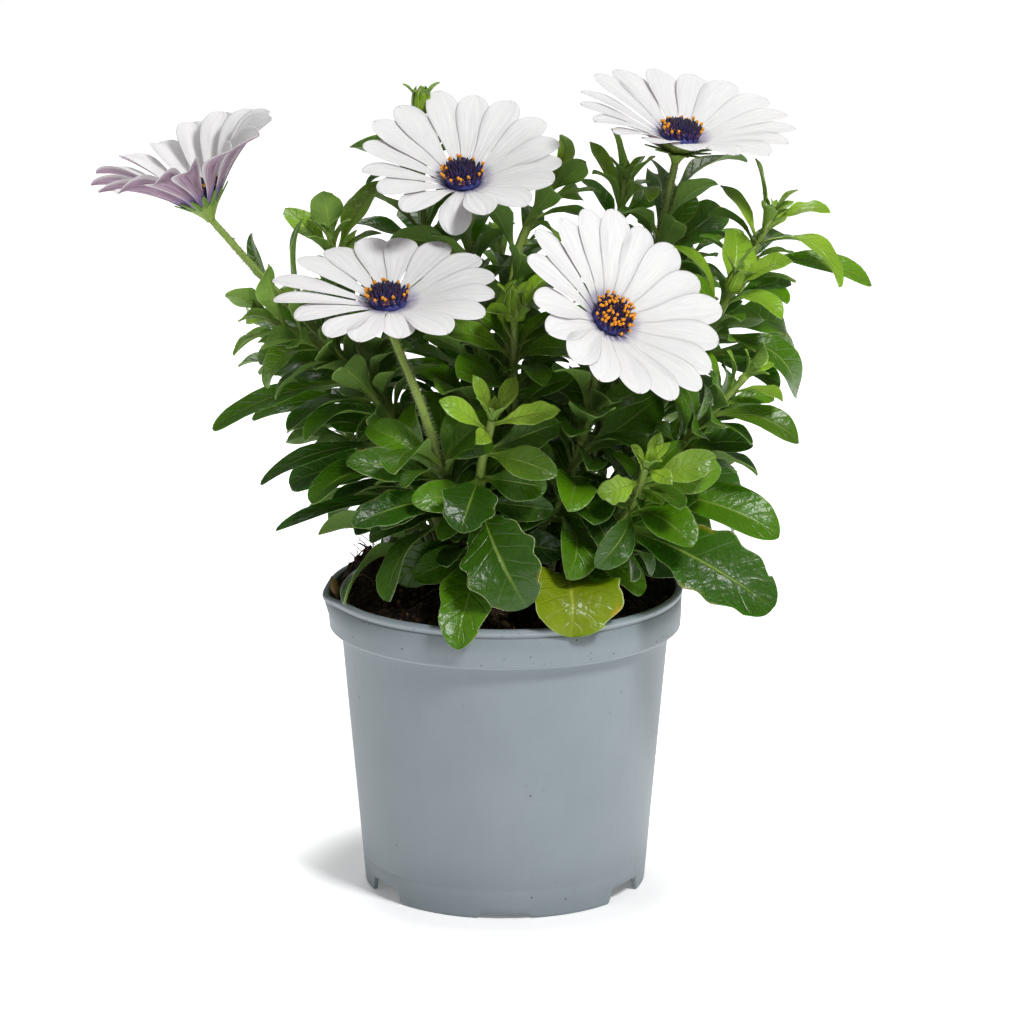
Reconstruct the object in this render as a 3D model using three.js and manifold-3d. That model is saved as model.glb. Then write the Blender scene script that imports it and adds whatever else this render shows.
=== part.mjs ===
// A potted osteospermum (white African daisy) in a 12 cm nursery pot.
// Millimetres, +Z up. The origin is the middle of the pot's foot, and the front of the plant faces -Y.
import * as THREE from "three";
import { mergeVertices } from "three/addons/utils/BufferGeometryUtils.js";
import Module from "manifold-3d";

const wasm = await Module();
wasm.setup();

// ---------------------------------------------------------------- driving sizes
const GAP = 0.35; // clearance between pieces that touch in life

const POT = {
  height: 103,
  rimRadius: 60,
  bandDepth: 14,
  neckRadius: 55.3, // outside, right under the band
  footRadius: 47.6,
  wall: 1.3,
  floorTop: 5.8, // raised part of the floor
  padRadius: 22, // middle of the floor, which stands on the surface
  segments: 32,
};

const NOTCH = {
  deep: { angles: [-58, 58, 122, 238], halfWidth: 11, height: 5.2 },
  shallow: { angles: [0, 180], halfWidth: 12, height: 1.5 },
};

const DRAIN = { count: 6, radius: 4, circle: 35 };

const SOIL = { edge: 99.6, dome: 9, segments: 24, holeDepth: 8 };

const GOLDEN = 137.508; // degrees from one leaf, floret or stem to the next

const STEM = { sides: 5, rings: 14, crowd: 1.3 }; // rings stand closer towards the end

const LEAF = {
  half: 0.5, // half its thickness
  neck: 0.17, // width of its stalk and of its blunt tip, as shares of its widest
  tip: 0.34,
  fold: 15, // degrees that each half rises from the midrib
  freeRoot: 7, // it may touch its own shoot this near to its root
  inward: 0.3, // how much its face turns to the plant's middle, and to the light outside
  outward: 0.7,
  light: 0.8, // how far a leaf that starts inwards is turned back out
  toFront: 32, // degrees that a leaf at the side rolls its face to the front
};

const RAY = { half: 0.5, cupped: 0.12, roll: 8, hub: 8.4, hubTop: 0.85, hubFoot: -1.2, cup: 8.4 };

const HEAD = { radius: 6.6, base: 1.2, rise: 2, florets: 18, rings: 3, floretHeight: 1.6 };

// Each bloom: middle of its head, the way it faces, reach and number of its rays,
// the rays' rise above the head's plane and how far they bend (degrees).
const BLOOMS = [
  {
    name: "top", at: [-14, 9, 239.5], faces: [0, -0.439, 0.899],
    reach: 36.5, rays: 16, rise: 27, bend: -5, turn: 4,
  },
  {
    name: "right", at: [58, 7, 254], faces: [0.155, -0.199, 0.968],
    reach: 38, rays: 17, rise: 24, bend: -5, turn: 9,
  },
  {
    name: "left", at: [-38, -33.5, 206.5], faces: [-0.01, -0.294, 0.956],
    reach: 37, rays: 16, rise: 17, bend: -5, turn: 1,
  },
  {
    name: "front", at: [34, -46, 203.5], faces: [0.491, -0.579, 0.651],
    reach: 38, rays: 18, rise: 27, bend: -6, turn: 6,
  },
  {
    name: "goblet", at: [-100.5, 0, 235.5], faces: [-0.36, -0.073, 0.93],
    reach: 37, rays: 15, rise: 50, bend: -14, turn: 3,
  },
];

// Each shoot: foot on the soil, the points that its stem passes, and its thickness at foot and end.
// leaves: how many grow by the rule, between which shares of the stem, their length from low to high,
// and how far they open from the stem. keys: leaves with a place of their own, as
// [share of the stem, tip, width, { arch, roll, teeth }].
const SHOOTS = [
  {
    name: "shoot_bloom_top", bloom: "top", foot: [-4, 1], way: [[-7, 5, 158.5], [-12, 14, 213.5]],
    thick: [1.76, 1.23],
    leaves: { count: 13, from: 0.3, to: 0.84, length: [44, 28], open: [78, 50], turn: 20 },
  },
  {
    name: "shoot_bloom_right", bloom: "right", foot: [15, 3], way: [[36, 6, 163.5], [50, 9, 213.5]],
    thick: [1.76, 1.23],
    leaves: { count: 12, from: 0.3, to: 0.84, length: [44, 30], open: [78, 45], turn: 80 },
    keys: [[0.8, [51, 38, 237], 14.3, { arch: 0.08 }], [0.76, [74, 34, 225], 14.3, { arch: 0.1 }]],
  },
  {
    name: "shoot_bloom_left", bloom: "left", foot: [-10, -8], way: [[-20, -30, 147.5], [-28, -37, 175]],
    thick: [1.76, 1.31],
    leaves: { count: 7, from: 0.18, to: 0.5, length: [42, 30], open: [78, 60], turn: 150 },
    keys: [
      [0.36, [-49, -55, 137], 13, { arch: 0.12, teeth: 2 }],
      [0.44, [-50, -42, 156], 11.7, { arch: 0.1 }],
      [0.3, [-39, -46, 109.5], 16.9, { arch: 0.16, roll: 35 }],
      [0.42, [-31, -46, 147], 12, { arch: 0.2 }],
    ],
  },
  {
    name: "shoot_bloom_front", bloom: "front", foot: [8, -13], way: [[22, -26, 147.5], [29, -34, 179]],
    thick: [1.76, 1.23],
    leaves: { count: 8, from: 0.2, to: 0.68, length: [42, 26], open: [78, 55], turn: 70 },
    keys: [[0.42, [29, -52, 136.5], 21, { arch: 0.16 }]],
  },
  {
    name: "shoot_bloom_goblet", bloom: "goblet", foot: [-20, -1], way: [[-42, -2, 166.5], [-79, -2, 207]],
    thick: [1.76, 1.15],
    leaves: { count: 10, from: 0.2, to: 0.64, length: [44, 28], open: [78, 50], turn: 10 },
    keys: [
      [0.68, [-77, 8, 224], 11, { arch: 0.1 }],
      [0.74, [-91, 14, 222], 7.5, { arch: 0.1 }],
      [0.46, [-85, 2, 159.5], 9, { arch: 0.14 }],
    ],
  },
  {
    name: "shoot_left", foot: [-18, -9], way: [[-38, -8, 161], [-58, -8, 184]], end: [-79, -8, 196],
    thick: [1.93, 1.15],
    leaves: { count: 11, from: 0.16, to: 0.99, length: [44, 16], open: [82, 30], turn: 200 },
    keys: [
      [0.16, [-54, -33, 102], 14, { arch: 0.24, roll: 30 }],
      [0.97, [-92, -14, 205.5], 13, { arch: 0.08 }],
      [0.95, [-81, -19, 218], 15, { arch: 0.05 }],
      [0.93, [-90, -20, 189.5], 12, { arch: 0.1 }],
      [0.86, [-83, -10, 182], 13, { arch: 0.28 }],
      [0.72, [-100, -10, 164], 9.8, { arch: 0.1 }],
      [0.66, [-73, -25, 161.5], 11.7, { arch: 0.12 }],
      [0.5, [-82, -8, 139.5], 8.2, { arch: 0.14 }],
      [0.4, [-65, -30, 143.5], 15.6, { arch: 0.14 }],
      [0.34, [-76, -22, 127], 6.8, { arch: 0.1 }],
    ],
  },
  {
    name: "shoot_left_high", foot: [-13, 6], way: [[-40, 4, 165.5], [-53, 8, 193.5]], end: [-58, 10, 219.5],
    thick: [1.93, 1.23],
    leaves: { count: 14, from: 0.2, to: 0.97, length: [42, 17], open: [80, 35], turn: 40 },
    keys: [
      [0.98, [-60, 8, 236], 15.6, { arch: 0.05, teeth: 1 }],
      [0.98, [-52, 2, 227], 9, { arch: 0.08 }],
      [0.97, [-66, 0, 224], 7.5, { arch: 0.08 }],
      [0.93, [-40, 24, 236.5], 16.9, { arch: 0.08 }],
      [0.95, [-62, 22, 238.5], 12, { arch: 0.06 }],
    ],
  },
  {
    name: "shoot_front", foot: [-3, -15], way: [[-8, -38, 148.5]], end: [-4, -46, 170],
    thick: [1.76, 1.39],
    leaves: { count: 6, from: 0.2, to: 0.6, length: [34, 26], open: [80, 75], turn: 90 },
    keys: [
      [0.58, [7, -62, 111], 27, { arch: 0.18, teeth: 3 }],
      [0.2, [-5, -66, 98.5], 20, { arch: 0.2, teeth: 2 }],
      [0.93, [-21, -50, 177.5], 9.8, { arch: 0.06 }],
      [0.99, [-10, -44, 184.5], 7.5, { arch: 0.05 }],
      [0.99, [3, -40, 185], 8.2, { arch: 0.05 }],
      [0.96, [-14, -56, 167.5], 8.2, { arch: 0.06 }],
      [0.97, [18, -51, 174.5], 10.5, { arch: 0.1, teeth: 2 }],
      [0.86, [17, -58, 154.5], 12, { arch: 0.12 }],
      [0.74, [-14, -63, 137.5], 19.4, { arch: 0.1, teeth: 2 }],
      [0.7, [11, -54, 146.5], 12.8, { arch: 0.1 }],
      [0.82, [18, -38, 167], 11.7, { arch: 0.1, teeth: 2 }],
      [0.6, [-30, -50, 144], 12, { arch: 0.12 }],
    ],
  },
  {
    name: "shoot_front_right", foot: [15, -17], way: [[40, -34, 135.5]], end: [46, -49, 155],
    thick: [1.68, 1.15],
    leaves: { count: 7, from: 0.16, to: 0.85, length: [40, 20], open: [80, 60], turn: 250 },
    keys: [
      [0.6, [90, -50, 113], 25.9, { arch: 0.14, teeth: 3 }],
      [0.72, [61, -58, 131], 15.6, { arch: 0.14 }],
      [0.98, [54, -58, 151.5], 8.2, { arch: 0.08 }],
      [0.98, [41, -54, 163.5], 6.8, { arch: 0.05 }],
      [0.98, [50, -46, 166], 6.8, { arch: 0.05 }],
      [0.92, [30, -54, 147.5], 11.7, { arch: 0.12, teeth: 2 }],
      [0.9, [67, -48, 161], 12, { arch: 0.1 }],
      [0.85, [71, -44, 153], 12, { arch: 0.1 }],
      [0.26, [80, -34, 102], 13, { arch: 0.16, roll: -20 }],
    ],
  },
  {
    name: "shoot_right_low", foot: [20, -9], way: [[48, -18, 143], [64, -26, 163.5]], end: [79, -30, 181],
    thick: [1.85, 1.23],
    leaves: { count: 9, from: 0.16, to: 0.85, length: [42, 22], open: [82, 55], turn: 30 },
    keys: [
      [0.97, [85, -32, 193], 10.5, { arch: 0.06 }],
      [0.97, [73, -36, 191], 7.5, { arch: 0.06 }],
      [0.95, [91, -38, 181], 10.5, { arch: 0.1 }],
      [0.85, [97, -36, 170], 12, { arch: 0.2 }],
      [0.5, [89, -38, 138.5], 19.5, { arch: 0.12 }],
    ],
  },
  {
    name: "shoot_right", foot: [22, -1], way: [[50, -8, 163], [68, -12, 193]], end: [76, -16, 209.5],
    thick: [1.85, 1.31], bud: 3.2,
    leaves: { count: 9, from: 0.2, to: 0.85, length: [42, 24], open: [80, 60], turn: 310 },
    keys: [
      [0.9, [62, -8, 226.5], 8.2, { arch: 0.25 }],
      [0.92, [80, -2, 225], 19.5, { arch: 0.08 }],
      [0.97, [94, -22, 218], 12.8, { arch: 0.1 }],
      [0.93, [90, -28, 200], 11.7, { arch: 0.2 }],
      [0.97, [79, -22, 223], 6, { arch: 0.1 }],
      [0.8, [97, -6, 169], 14.3, { arch: 0.3 }],
      [0.76, [102, 6, 181.5], 11.7, { arch: 0.24 }],
    ],
  },
  {
    name: "shoot_right_high", foot: [24, 7], way: [[60, 6, 176.5], [78, 6, 205.5]], end: [88, 4, 227],
    thick: [1.85, 1.23],
    leaves: { count: 9, from: 0.25, to: 0.92, length: [42, 22], open: [78, 50], turn: 100 },
    keys: [
      [0.99, [83, 2, 247.5], 9, { arch: 0.06, teeth: 2 }],
      [0.99, [92, 4, 240], 7.5, { arch: 0.05 }],
      [0.99, [108, -2, 231], 12.8, { arch: 0.12, teeth: 2 }],
      [0.94, [106, -16, 207.5], 15.6, { arch: 0.26 }],
      [0.86, [123, 10, 203.5], 10.5, { arch: 0.14 }],
      [0.93, [72, 14, 236.5], 10.5, { arch: 0.08 }],
    ],
  },
  {
    name: "shoot_middle_high", foot: [5, 5], way: [[1, 8, 168.5], [4, 9, 213.5]], end: [16, 16, 238.5],
    thick: [2.02, 1.48],
    leaves: { count: 13, from: 0.32, to: 0.97, length: [40, 20], open: [75, 28], turn: 330 },
    keys: [[0.96, [29, 14, 243], 9, { arch: 0.06 }], [0.9, [18, 0, 220], 9, { arch: 0.1 }]],
  },
  {
    name: "shoot_high", foot: [10, 12], way: [[34, 16, 179], [38, 19, 218.5]], end: [40, 16, 238.5],
    thick: [1.85, 1.31],
    leaves: { count: 12, from: 0.35, to: 0.92, length: [40, 22], open: [75, 35], turn: 220 },
    keys: [
      [0.98, [36, 12, 256], 12, { arch: 0.05 }],
      [0.98, [45, 10, 250], 9, { arch: 0.05 }],
      [0.96, [30, 20, 251.5], 9, { arch: 0.06 }],
    ],
  },
  {
    name: "shoot_bud", foot: [4, -5], way: [[4, -12, 148], [3, -14, 178]], end: [3, -14, 200.5],
    thick: [1.85, 1.31], bud: 4.2,
    leaves: { count: 13, from: 0.24, to: 0.96, length: [40, 19], open: [78, 30], turn: 60 },
    keys: [
      [0.72, [-9, -34, 187], 21.6, { arch: 0.12 }],
      [0.82, [23, -32, 190], 11.7, { arch: 0.1 }],
      [0.86, [-20, -26, 195.5], 12, { arch: 0.1 }],
    ],
  },
  {
    name: "shoot_back_bud", foot: [-9, 14], way: [[-20, 24, 169.5], [-28, 32, 230]], end: [-28, 33, 261],
    thick: [1.85, 1.23], bud: 3.4,
    leaves: { count: 13, from: 0.24, to: 0.86, length: [42, 22], open: [78, 40], turn: 130 },
  },
  {
    name: "shoot_back_right", foot: [18, 14], way: [[44, 32, 164.5], [56, 40, 194.5]], end: [64, 42, 214.5],
    thick: [1.85, 1.23],
    leaves: { count: 13, from: 0.18, to: 0.98, length: [42, 17], open: [82, 30], turn: 15 },
  },
  {
    name: "shoot_back_left", foot: [-18, 17], way: [[-40, 38, 155], [-50, 48, 180]], end: [-54, 50, 198],
    thick: [1.85, 1.23],
    leaves: { count: 14, from: 0.16, to: 0.98, length: [44, 17], open: [82, 30], turn: 75 },
  },
  {
    name: "shoot_back", foot: [0, 17], way: [[2, 42, 160], [0, 54, 188]], end: [-2, 58, 208],
    thick: [1.85, 1.23],
    leaves: { count: 12, from: 0.16, to: 0.98, length: [44, 17], open: [82, 30], turn: 180 },
  },
  {
    name: "shoot_back_low", foot: [9, 22], way: [[30, 50, 140.5], [38, 60, 158.5]], end: [42, 64, 175.5],
    thick: [1.68, 1.15],
    leaves: { count: 12, from: 0.14, to: 0.98, length: [44, 17], open: [82, 30], turn: 260 },
  },
  {
    name: "shoot_left_back", foot: [-24, 9], way: [[-52, 24, 147.5], [-66, 32, 167.5]], end: [-74, 36, 183.5],
    thick: [1.68, 1.15],
    leaves: { count: 12, from: 0.14, to: 0.98, length: [44, 17], open: [82, 30], turn: 350 },
  },
];

// A fallen yellow leaf that still stands in the soil on its own stalk.
const OLD_LEAF = {
  name: "yellow_leaf", foot: [18, -29], height: 8, tip: [22, -58.5, 100.5], width: 35, arch: 0.26, teeth: 2,
  stalk: 1.4,
};

const COLOURS = {
  pot: 0x8c979b, soil: 0x2a211a, leaf: 0x3f6a16, yellow: 0x9aa51c, petal: 0xf0eff0, head: 0x3a2c66,
};

// ---------------------------------------------------------------- small maths
const rad = THREE.MathUtils.degToRad;
const vec = (p) => new THREE.Vector3(...p);
const mix = THREE.MathUtils.lerp;
const ease = THREE.MathUtils.smoothstep;

// A repeatable run of numbers from 0 to 1 (Park-Miller).
function dice(seed) {
  let state = seed * 7919 + 17;
  return () => {
    state = (state * 16807) % 2147483647;
    return state / 2147483647;
  };
}

// How far the soil rises above its edge level, a dome with two heaps and small clods.
function soilRelief(x, y) {
  const share = Math.hypot(x, y) / POT.neckRadius;
  const heap = (cx, cy, size, rise) => rise * Math.exp(-((x - cx) ** 2 + (y - cy) ** 2) / size ** 2);
  const clods = 0.7 * Math.sin(0.41 * x + 1.1) * Math.cos(0.37 * y) + 0.5 * Math.sin(0.83 * y - 0.6 * x);
  const dome = SOIL.dome * Math.max(0, 1 - share ** 2);
  return dome + heap(-45, 16, 13, 5) + heap(40, 26, 15, 4) + clods * Math.min(1, 4 * Math.max(0, 1 - share));
}
const soilHeight = (x, y) => SOIL.edge + soilRelief(x, y);

// ---------------------------------------------------------------- solids
function solidOf(geometry) {
  geometry.deleteAttribute("normal");
  geometry.deleteAttribute("uv");
  const merged = mergeVertices(geometry, 1e-4);
  const vertProperties = merged.attributes.position.array;
  const triVerts = new Uint32Array(merged.index.array);
  return new wasm.Manifold(new wasm.Mesh({ numProp: 3, vertProperties, triVerts }));
}

function geometryOf(solid) {
  const mesh = solid.getMesh();
  const geometry = new THREE.BufferGeometry();
  geometry.setAttribute("position", new THREE.BufferAttribute(mesh.vertProperties, mesh.numProp));
  geometry.setIndex(new THREE.BufferAttribute(mesh.triVerts, 1));
  return geometry;
}

function fuse(solids) {
  return solids.reduce((whole, next) => whole.add(next));
}

function fromFaces(points, faces) {
  const geometry = new THREE.BufferGeometry();
  geometry.setAttribute("position", new THREE.Float32BufferAttribute(points.flatMap((p) => p.toArray()), 3));
  geometry.setIndex(faces.flat());
  return geometry;
}

// The four corners of a blade where it is cut across: left edge, upper face, right edge, lower face.
function section({ line: [left, middle, right], up, half }) {
  return [left, middle.clone().addScaledVector(up, half), right, middle.clone().addScaledVector(up, -half)];
}

// The skin between two loops of four corners, split alike on a blade's upper and lower face.
function skin(a, b) {
  const faces = [];
  for (let m = 0; m < 4; m++) {
    const n = (m + 1) % 4;
    if (m < 2) faces.push([a[m], a[n], b[m]], [a[n], b[n], b[m]]);
    else faces.push([a[n], b[n], a[m]], [a[m], b[n], b[m]]);
  }
  return faces;
}

// Adds a blade to a body, from a loop of four corners that the body leaves open, and closes its tip.
function growBlade(body, open, rows) {
  let loop = open;
  for (const row of rows) {
    const start = body.points.length;
    body.points.push(...section(row));
    const next = [start, start + 1, start + 2, start + 3];
    body.faces.push(...skin(loop, next));
    loop = next;
  }
  const [l, t, r, b] = loop;
  body.faces.push([l, t, b], [b, t, r]);
}

// A blade that is a body of its own.
function blade(rows) {
  const body = { points: section(rows[0]), faces: [[0, 3, 1], [3, 2, 1]] };
  growBlade(body, [0, 1, 2, 3], rows.slice(1));
  return solidOf(fromFaces(body.points, body.faces));
}

// The corners of an open facet, turned so that they lie nearest to the first cut of the blade.
function facing(points, corners, row) {
  const cut = section(row);
  const turns = [0, 1, 2, 3].map((n) => corners.map((_, m) => corners[(m + n) % 4]));
  const far = (loop) => loop.reduce((sum, corner, m) => sum + points[corner].distanceTo(cut[m]), 0);
  return turns.reduce((best, loop) => (far(loop) < far(best) ? loop : best));
}

// A turned solid whose axis stands at a point and looks along a direction.
function turned(profile, segments, at, faces) {
  const geometry = new THREE.LatheGeometry(profile.map(([r, z]) => new THREE.Vector2(r, z)), segments);
  const spin = new THREE.Quaternion().setFromUnitVectors(new THREE.Vector3(0, 1, 0), faces);
  return solidOf(geometry.applyQuaternion(spin).translate(...at));
}

// ---------------------------------------------------------------- room between the pieces
// A grid of cells that remembers which shoot or bloom has been near each of them.
const ROOM = { cell: 1.5, low: [-165, -120, 60], size: [206, 160, 170], spacing: 1.1 };
const SHARED = -1;

const room = new Int16Array(ROOM.size[0] * ROOM.size[1] * ROOM.size[2]);

function cellOf(p) {
  const [i, j, k] = [p.x, p.y, p.z].map((c, n) => Math.floor((c - ROOM.low[n]) / ROOM.cell));
  return (i * ROOM.size[1] + j) * ROOM.size[2] + k;
}

// Marks the cells of the points, and those beside them, as held by an owner.
function claim(points, owner) {
  for (const point of points) {
    const middle = cellOf(point);
    for (const di of [-1, 0, 1])
      for (const dj of [-1, 0, 1])
        for (const dk of [-1, 0, 1]) {
          const cell = middle + (di * ROOM.size[1] + dj) * ROOM.size[2] + dk;
          room[cell] = room[cell] === 0 || room[cell] === owner ? owner : SHARED;
        }
  }
}

// True where a point would lie in the pot's rim or in the soil.
function inPot(p) {
  const r = Math.hypot(p.x, p.y);
  if (r > POT.rimRadius + 1.6) return false;
  if (r > POT.rimRadius - 4) return p.z < POT.height + 1.3;
  return p.z < soilHeight(p.x, p.y) + 1.2;
}

// True where no point meets another piece, the pot or, away from the root, the leaf's own shoot.
function isClear(points, owner, root) {
  return points.every((point) => {
    const held = room[cellOf(point)];
    const away = point.distanceTo(root) > LEAF.freeRoot;
    return (held === 0 || (held === owner && !away)) && !(away && inPot(point));
  });
}

// Points all over a blade's middle surface.
function bladePoints(rows) {
  const found = [];
  for (let i = 0; i < rows.length - 1; i++)
    for (const j of [0, 1]) {
      const [row, after] = [rows[i].line, rows[i + 1].line];
      const [a, b, c, d] = [row[j], row[j + 1], after[j], after[j + 1]];
      const long = Math.ceil(a.distanceTo(c) / ROOM.spacing);
      const wide = Math.ceil(Math.max(a.distanceTo(b), c.distanceTo(d)) / ROOM.spacing);
      for (let u = 0; u <= long; u++)
        for (let v = 0; v <= wide; v++) {
          const right = b.clone().lerp(d, u / long);
          found.push(a.clone().lerp(c, u / long).lerp(right, v / wide));
        }
    }
  return found;
}

// The middle of a stem and the six sides round it.
const STEM_SPOTS = [[0, 0, 0], [1, 0, 0], [-1, 0, 0], [0, 1, 0], [0, -1, 0], [0, 0, 1], [0, 0, -1]];

// Points all over a stem.
function stemPoints({ curve, radiusAt }) {
  const steps = Math.ceil(curve.getLength() / ROOM.spacing);
  const found = [];
  for (let i = 0; i <= steps; i++)
    for (const spot of STEM_SPOTS) {
      const offset = vec(spot).multiplyScalar(radiusAt(i / steps));
      found.push(curve.getPointAt(i / steps).add(offset));
    }
  return found;
}

// ---------------------------------------------------------------- leaves
// Where a leaf has its rows, as shares of its length. A broad one has a row more.
const STATIONS = { broad: 17, large: [0, 0.18, 0.45, 0.8, 1], small: [0, 0.34, 0.72, 1] };

// A toothed leaf has a row at the point and at the foot of each tooth.
const TOOTHED = { from: 0.34, to: 0.9 };
function toothRows(teeth) {
  const inner = [];
  for (let i = 0; i <= 2 * teeth; i++) inner.push(mix(TOOTHED.from, TOOTHED.to, i / (2 * teeth)));
  return [0, 0.17, ...inner, 1];
}

function stationsOf({ teeth, width }) {
  if (teeth) return toothRows(teeth);
  return width > STATIONS.broad ? STATIONS.large : STATIONS.small;
}

// Half the width of a spoon-shaped leaf, as a share of its widest: a narrow stalk that widens
// past the middle and closes in a blunt tip.
function spoon(s) {
  const widen = LEAF.neck + (1 - LEAF.neck) * ease(s, 0.1, 0.62);
  const close = s > 0.62 ? Math.sqrt(Math.max(0, 1 - ((s - 0.62) / 0.385) ** 2)) : 1;
  return widen * Math.max(close, LEAF.tip);
}

// Teeth: the edge steps out along the leaf and falls back in, on the two edges by turns.
function toothed(s, teeth, side) {
  if (!teeth || s <= TOOTHED.from || s >= TOOTHED.to) return 1;
  const beat = ((s - TOOTHED.from) / (TOOTHED.to - TOOTHED.from)) * teeth + (side > 0 ? 0.5 : 0);
  return 1.04 - 0.24 * Math.abs(2 * (beat - Math.floor(beat)) - 1);
}

// The rows of a leaf from its root to its tip. It bulges to its upper face by arch, a share of its
// length, and folds up along its midrib.
function leafRows(leaf) {
  const chord = leaf.tip.clone().sub(leaf.root);
  const length = chord.length();
  const along = chord.clone().normalize();
  const steep = Math.abs(along.dot(leaf.stem));
  const up = leaf.stem.clone().addScaledVector(new THREE.Vector3(-along.x, -along.y, 0), LEAF.inward);
  const outward = new THREE.Vector3(leaf.root.x + leaf.tip.x, leaf.root.y + leaf.tip.y, 0).normalize();
  up.addScaledVector(outward, LEAF.outward * (1 - steep));
  up.addScaledVector(along, -up.dot(along)).normalize().applyAxisAngle(along, rad(leaf.roll));
  const side = new THREE.Vector3().crossVectors(along, up);
  return stationsOf(leaf).map((s) => {
    const rise = leaf.arch * length * 4 * s * (1 - s);
    const slope = leaf.arch * 4 * (1 - 2 * s);
    const middle = leaf.root.clone().addScaledVector(along, s * length).addScaledVector(up, rise);
    const forward = along.clone().addScaledVector(up, slope).normalize();
    const face = new THREE.Vector3().crossVectors(side, forward);
    const edge = (sign) => {
      const reach = (leaf.width / 2) * spoon(s) * toothed(s, leaf.teeth, sign);
      const outwards = middle.clone().addScaledVector(side, sign * reach * Math.cos(rad(LEAF.fold)));
      return outwards.addScaledVector(face, reach * Math.sin(rad(LEAF.fold)));
    };
    return { line: [edge(-1), middle, edge(1)], up: face, half: LEAF.half };
  });
}

// Ways to bend a leaf clear, from none to the widest: [turn round the stem, lift] in degrees.
const BENDS = [[0, 0]];
for (const reach of [6, 12, 19, 27, 36, 48])
  for (let i = 0; i < 8; i++) {
    const around = (i * Math.PI) / 4;
    BENDS.push([reach * Math.cos(around), reach * Math.sin(around)]);
  }

// Shares of its length to which a leaf may be shortened, from the first to the last resort.
const SHRINKS = [1, 0.86, 0.72, 0.58, 0.46];

// Bends the leaf, and then shortens it, until it is clear of every other piece.
function bendClear(leaf, owner) {
  for (const size of SHRINKS)
    for (const [turn, lift] of BENDS) {
      const chord = leaf.tip.clone().sub(leaf.root).multiplyScalar(size);
      const level = new THREE.Vector3().crossVectors(chord, leaf.stem).normalize();
      chord.applyAxisAngle(level, rad(lift)).applyAxisAngle(leaf.stem, rad(turn));
      const rows = leafRows({ ...leaf, tip: leaf.root.clone().add(chord), width: leaf.width * size });
      const points = bladePoints(rows);
      if (!isClear(points, owner, leaf.root)) continue;
      claim(points, owner);
      return rows;
    }
  return null;
}

// ---------------------------------------------------------------- shoots
function stemOf(shoot) {
  const [x, y] = shoot.foot;
  const ground = soilHeight(x, y);
  const bloom = BLOOMS.find((b) => b.name === shoot.bloom);
  const end = bloom ? vec(bloom.at).addScaledVector(vec(bloom.faces).normalize(), -RAY.cup) : vec(shoot.end);
  const first = vec(shoot.way[0]);
  const curve = new THREE.CatmullRomCurve3([
    new THREE.Vector3(x, y, ground - SOIL.holeDepth + GAP), new THREE.Vector3(x, y, ground),
    new THREE.Vector3(mix(x, first.x, 0.06), mix(y, first.y, 0.06), ground + 9), ...shoot.way.map(vec), end,
  ]);
  const radiusAt = (share) => mix(shoot.thick[0], shoot.thick[1], share);
  return { curve, radiusAt, bloom, ...stemRings(curve, radiusAt) };
}

// A round stem as rings of corners, with the facets between them, from which leaves can grow.
function stemRings(curve, radiusAt) {
  const points = [];
  const facets = [];
  const sunk = (SOIL.holeDepth + 1) / curve.getLength();
  const shares = [0];
  for (let i = 0; i < STEM.rings; i++) {
    const rest = 1 - i / (STEM.rings - 1);
    shares.push(mix(sunk, 1, 1 - rest ** STEM.crowd));
  }
  for (const share of shares) {
    const axis = curve.getTangentAt(share);
    const zero = new THREE.Vector3(1, 0, 0).addScaledVector(axis, -axis.x).normalize();
    for (let k = 0; k < STEM.sides; k++) {
      const out = zero.clone().applyAxisAngle(axis, (2 * Math.PI * k) / STEM.sides);
      points.push(curve.getPointAt(share).addScaledVector(out, radiusAt(share)));
    }
  }
  const at = (i, k) => i * STEM.sides + (k % STEM.sides);
  for (let i = 0; i < STEM.rings; i++)
    for (let k = 0; k < STEM.sides; k++) {
      const corners = [at(i, k), at(i, k + 1), at(i + 1, k + 1), at(i + 1, k)];
      const middle = corners.reduce((sum, c) => sum.add(points[c]), new THREE.Vector3()).divideScalar(4);
      const share = (shares[i] + shares[i + 1]) / 2;
      const normal = middle.clone().sub(curve.getPointAt(share)).normalize();
      const axis = curve.getTangentAt(share);
      facets.push({ corners, middle, share, normal, axis, rows: null, taken: false });
    }
  return { points, facets };
}

// The free facet that lies nearest to a share of the stem and looks most along a direction. To look
// straight along it outweighs this many millimetres of the stem.
const FACET_TURN = 9;
function pickFacet(stem, share, direction) {
  const length = stem.curve.getLength();
  const score = (facet) => FACET_TURN * facet.normal.dot(direction) - Math.abs(facet.share - share) * length;
  const free = stem.facets.filter((facet) => !facet.taken);
  const facet = free.reduce((best, next) => (score(next) > score(best) ? next : best));
  facet.taken = true;
  return facet;
}

function leafOn(facet, tip, width, { arch, roll, teeth = 0 }) {
  return { facet, root: facet.middle, stem: facet.axis, tip, width, arch, roll, teeth };
}

function keyLeaves(shoot, stem) {
  return (shoot.keys ?? []).map(([share, tip, width, style]) => {
    const direction = vec(tip).sub(stem.curve.getPointAt(share)).normalize();
    const roll = LEAF.toFront * direction.x;
    return leafOn(pickFacet(stem, share, direction), vec(tip), width, { roll, ...style });
  });
}

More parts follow.
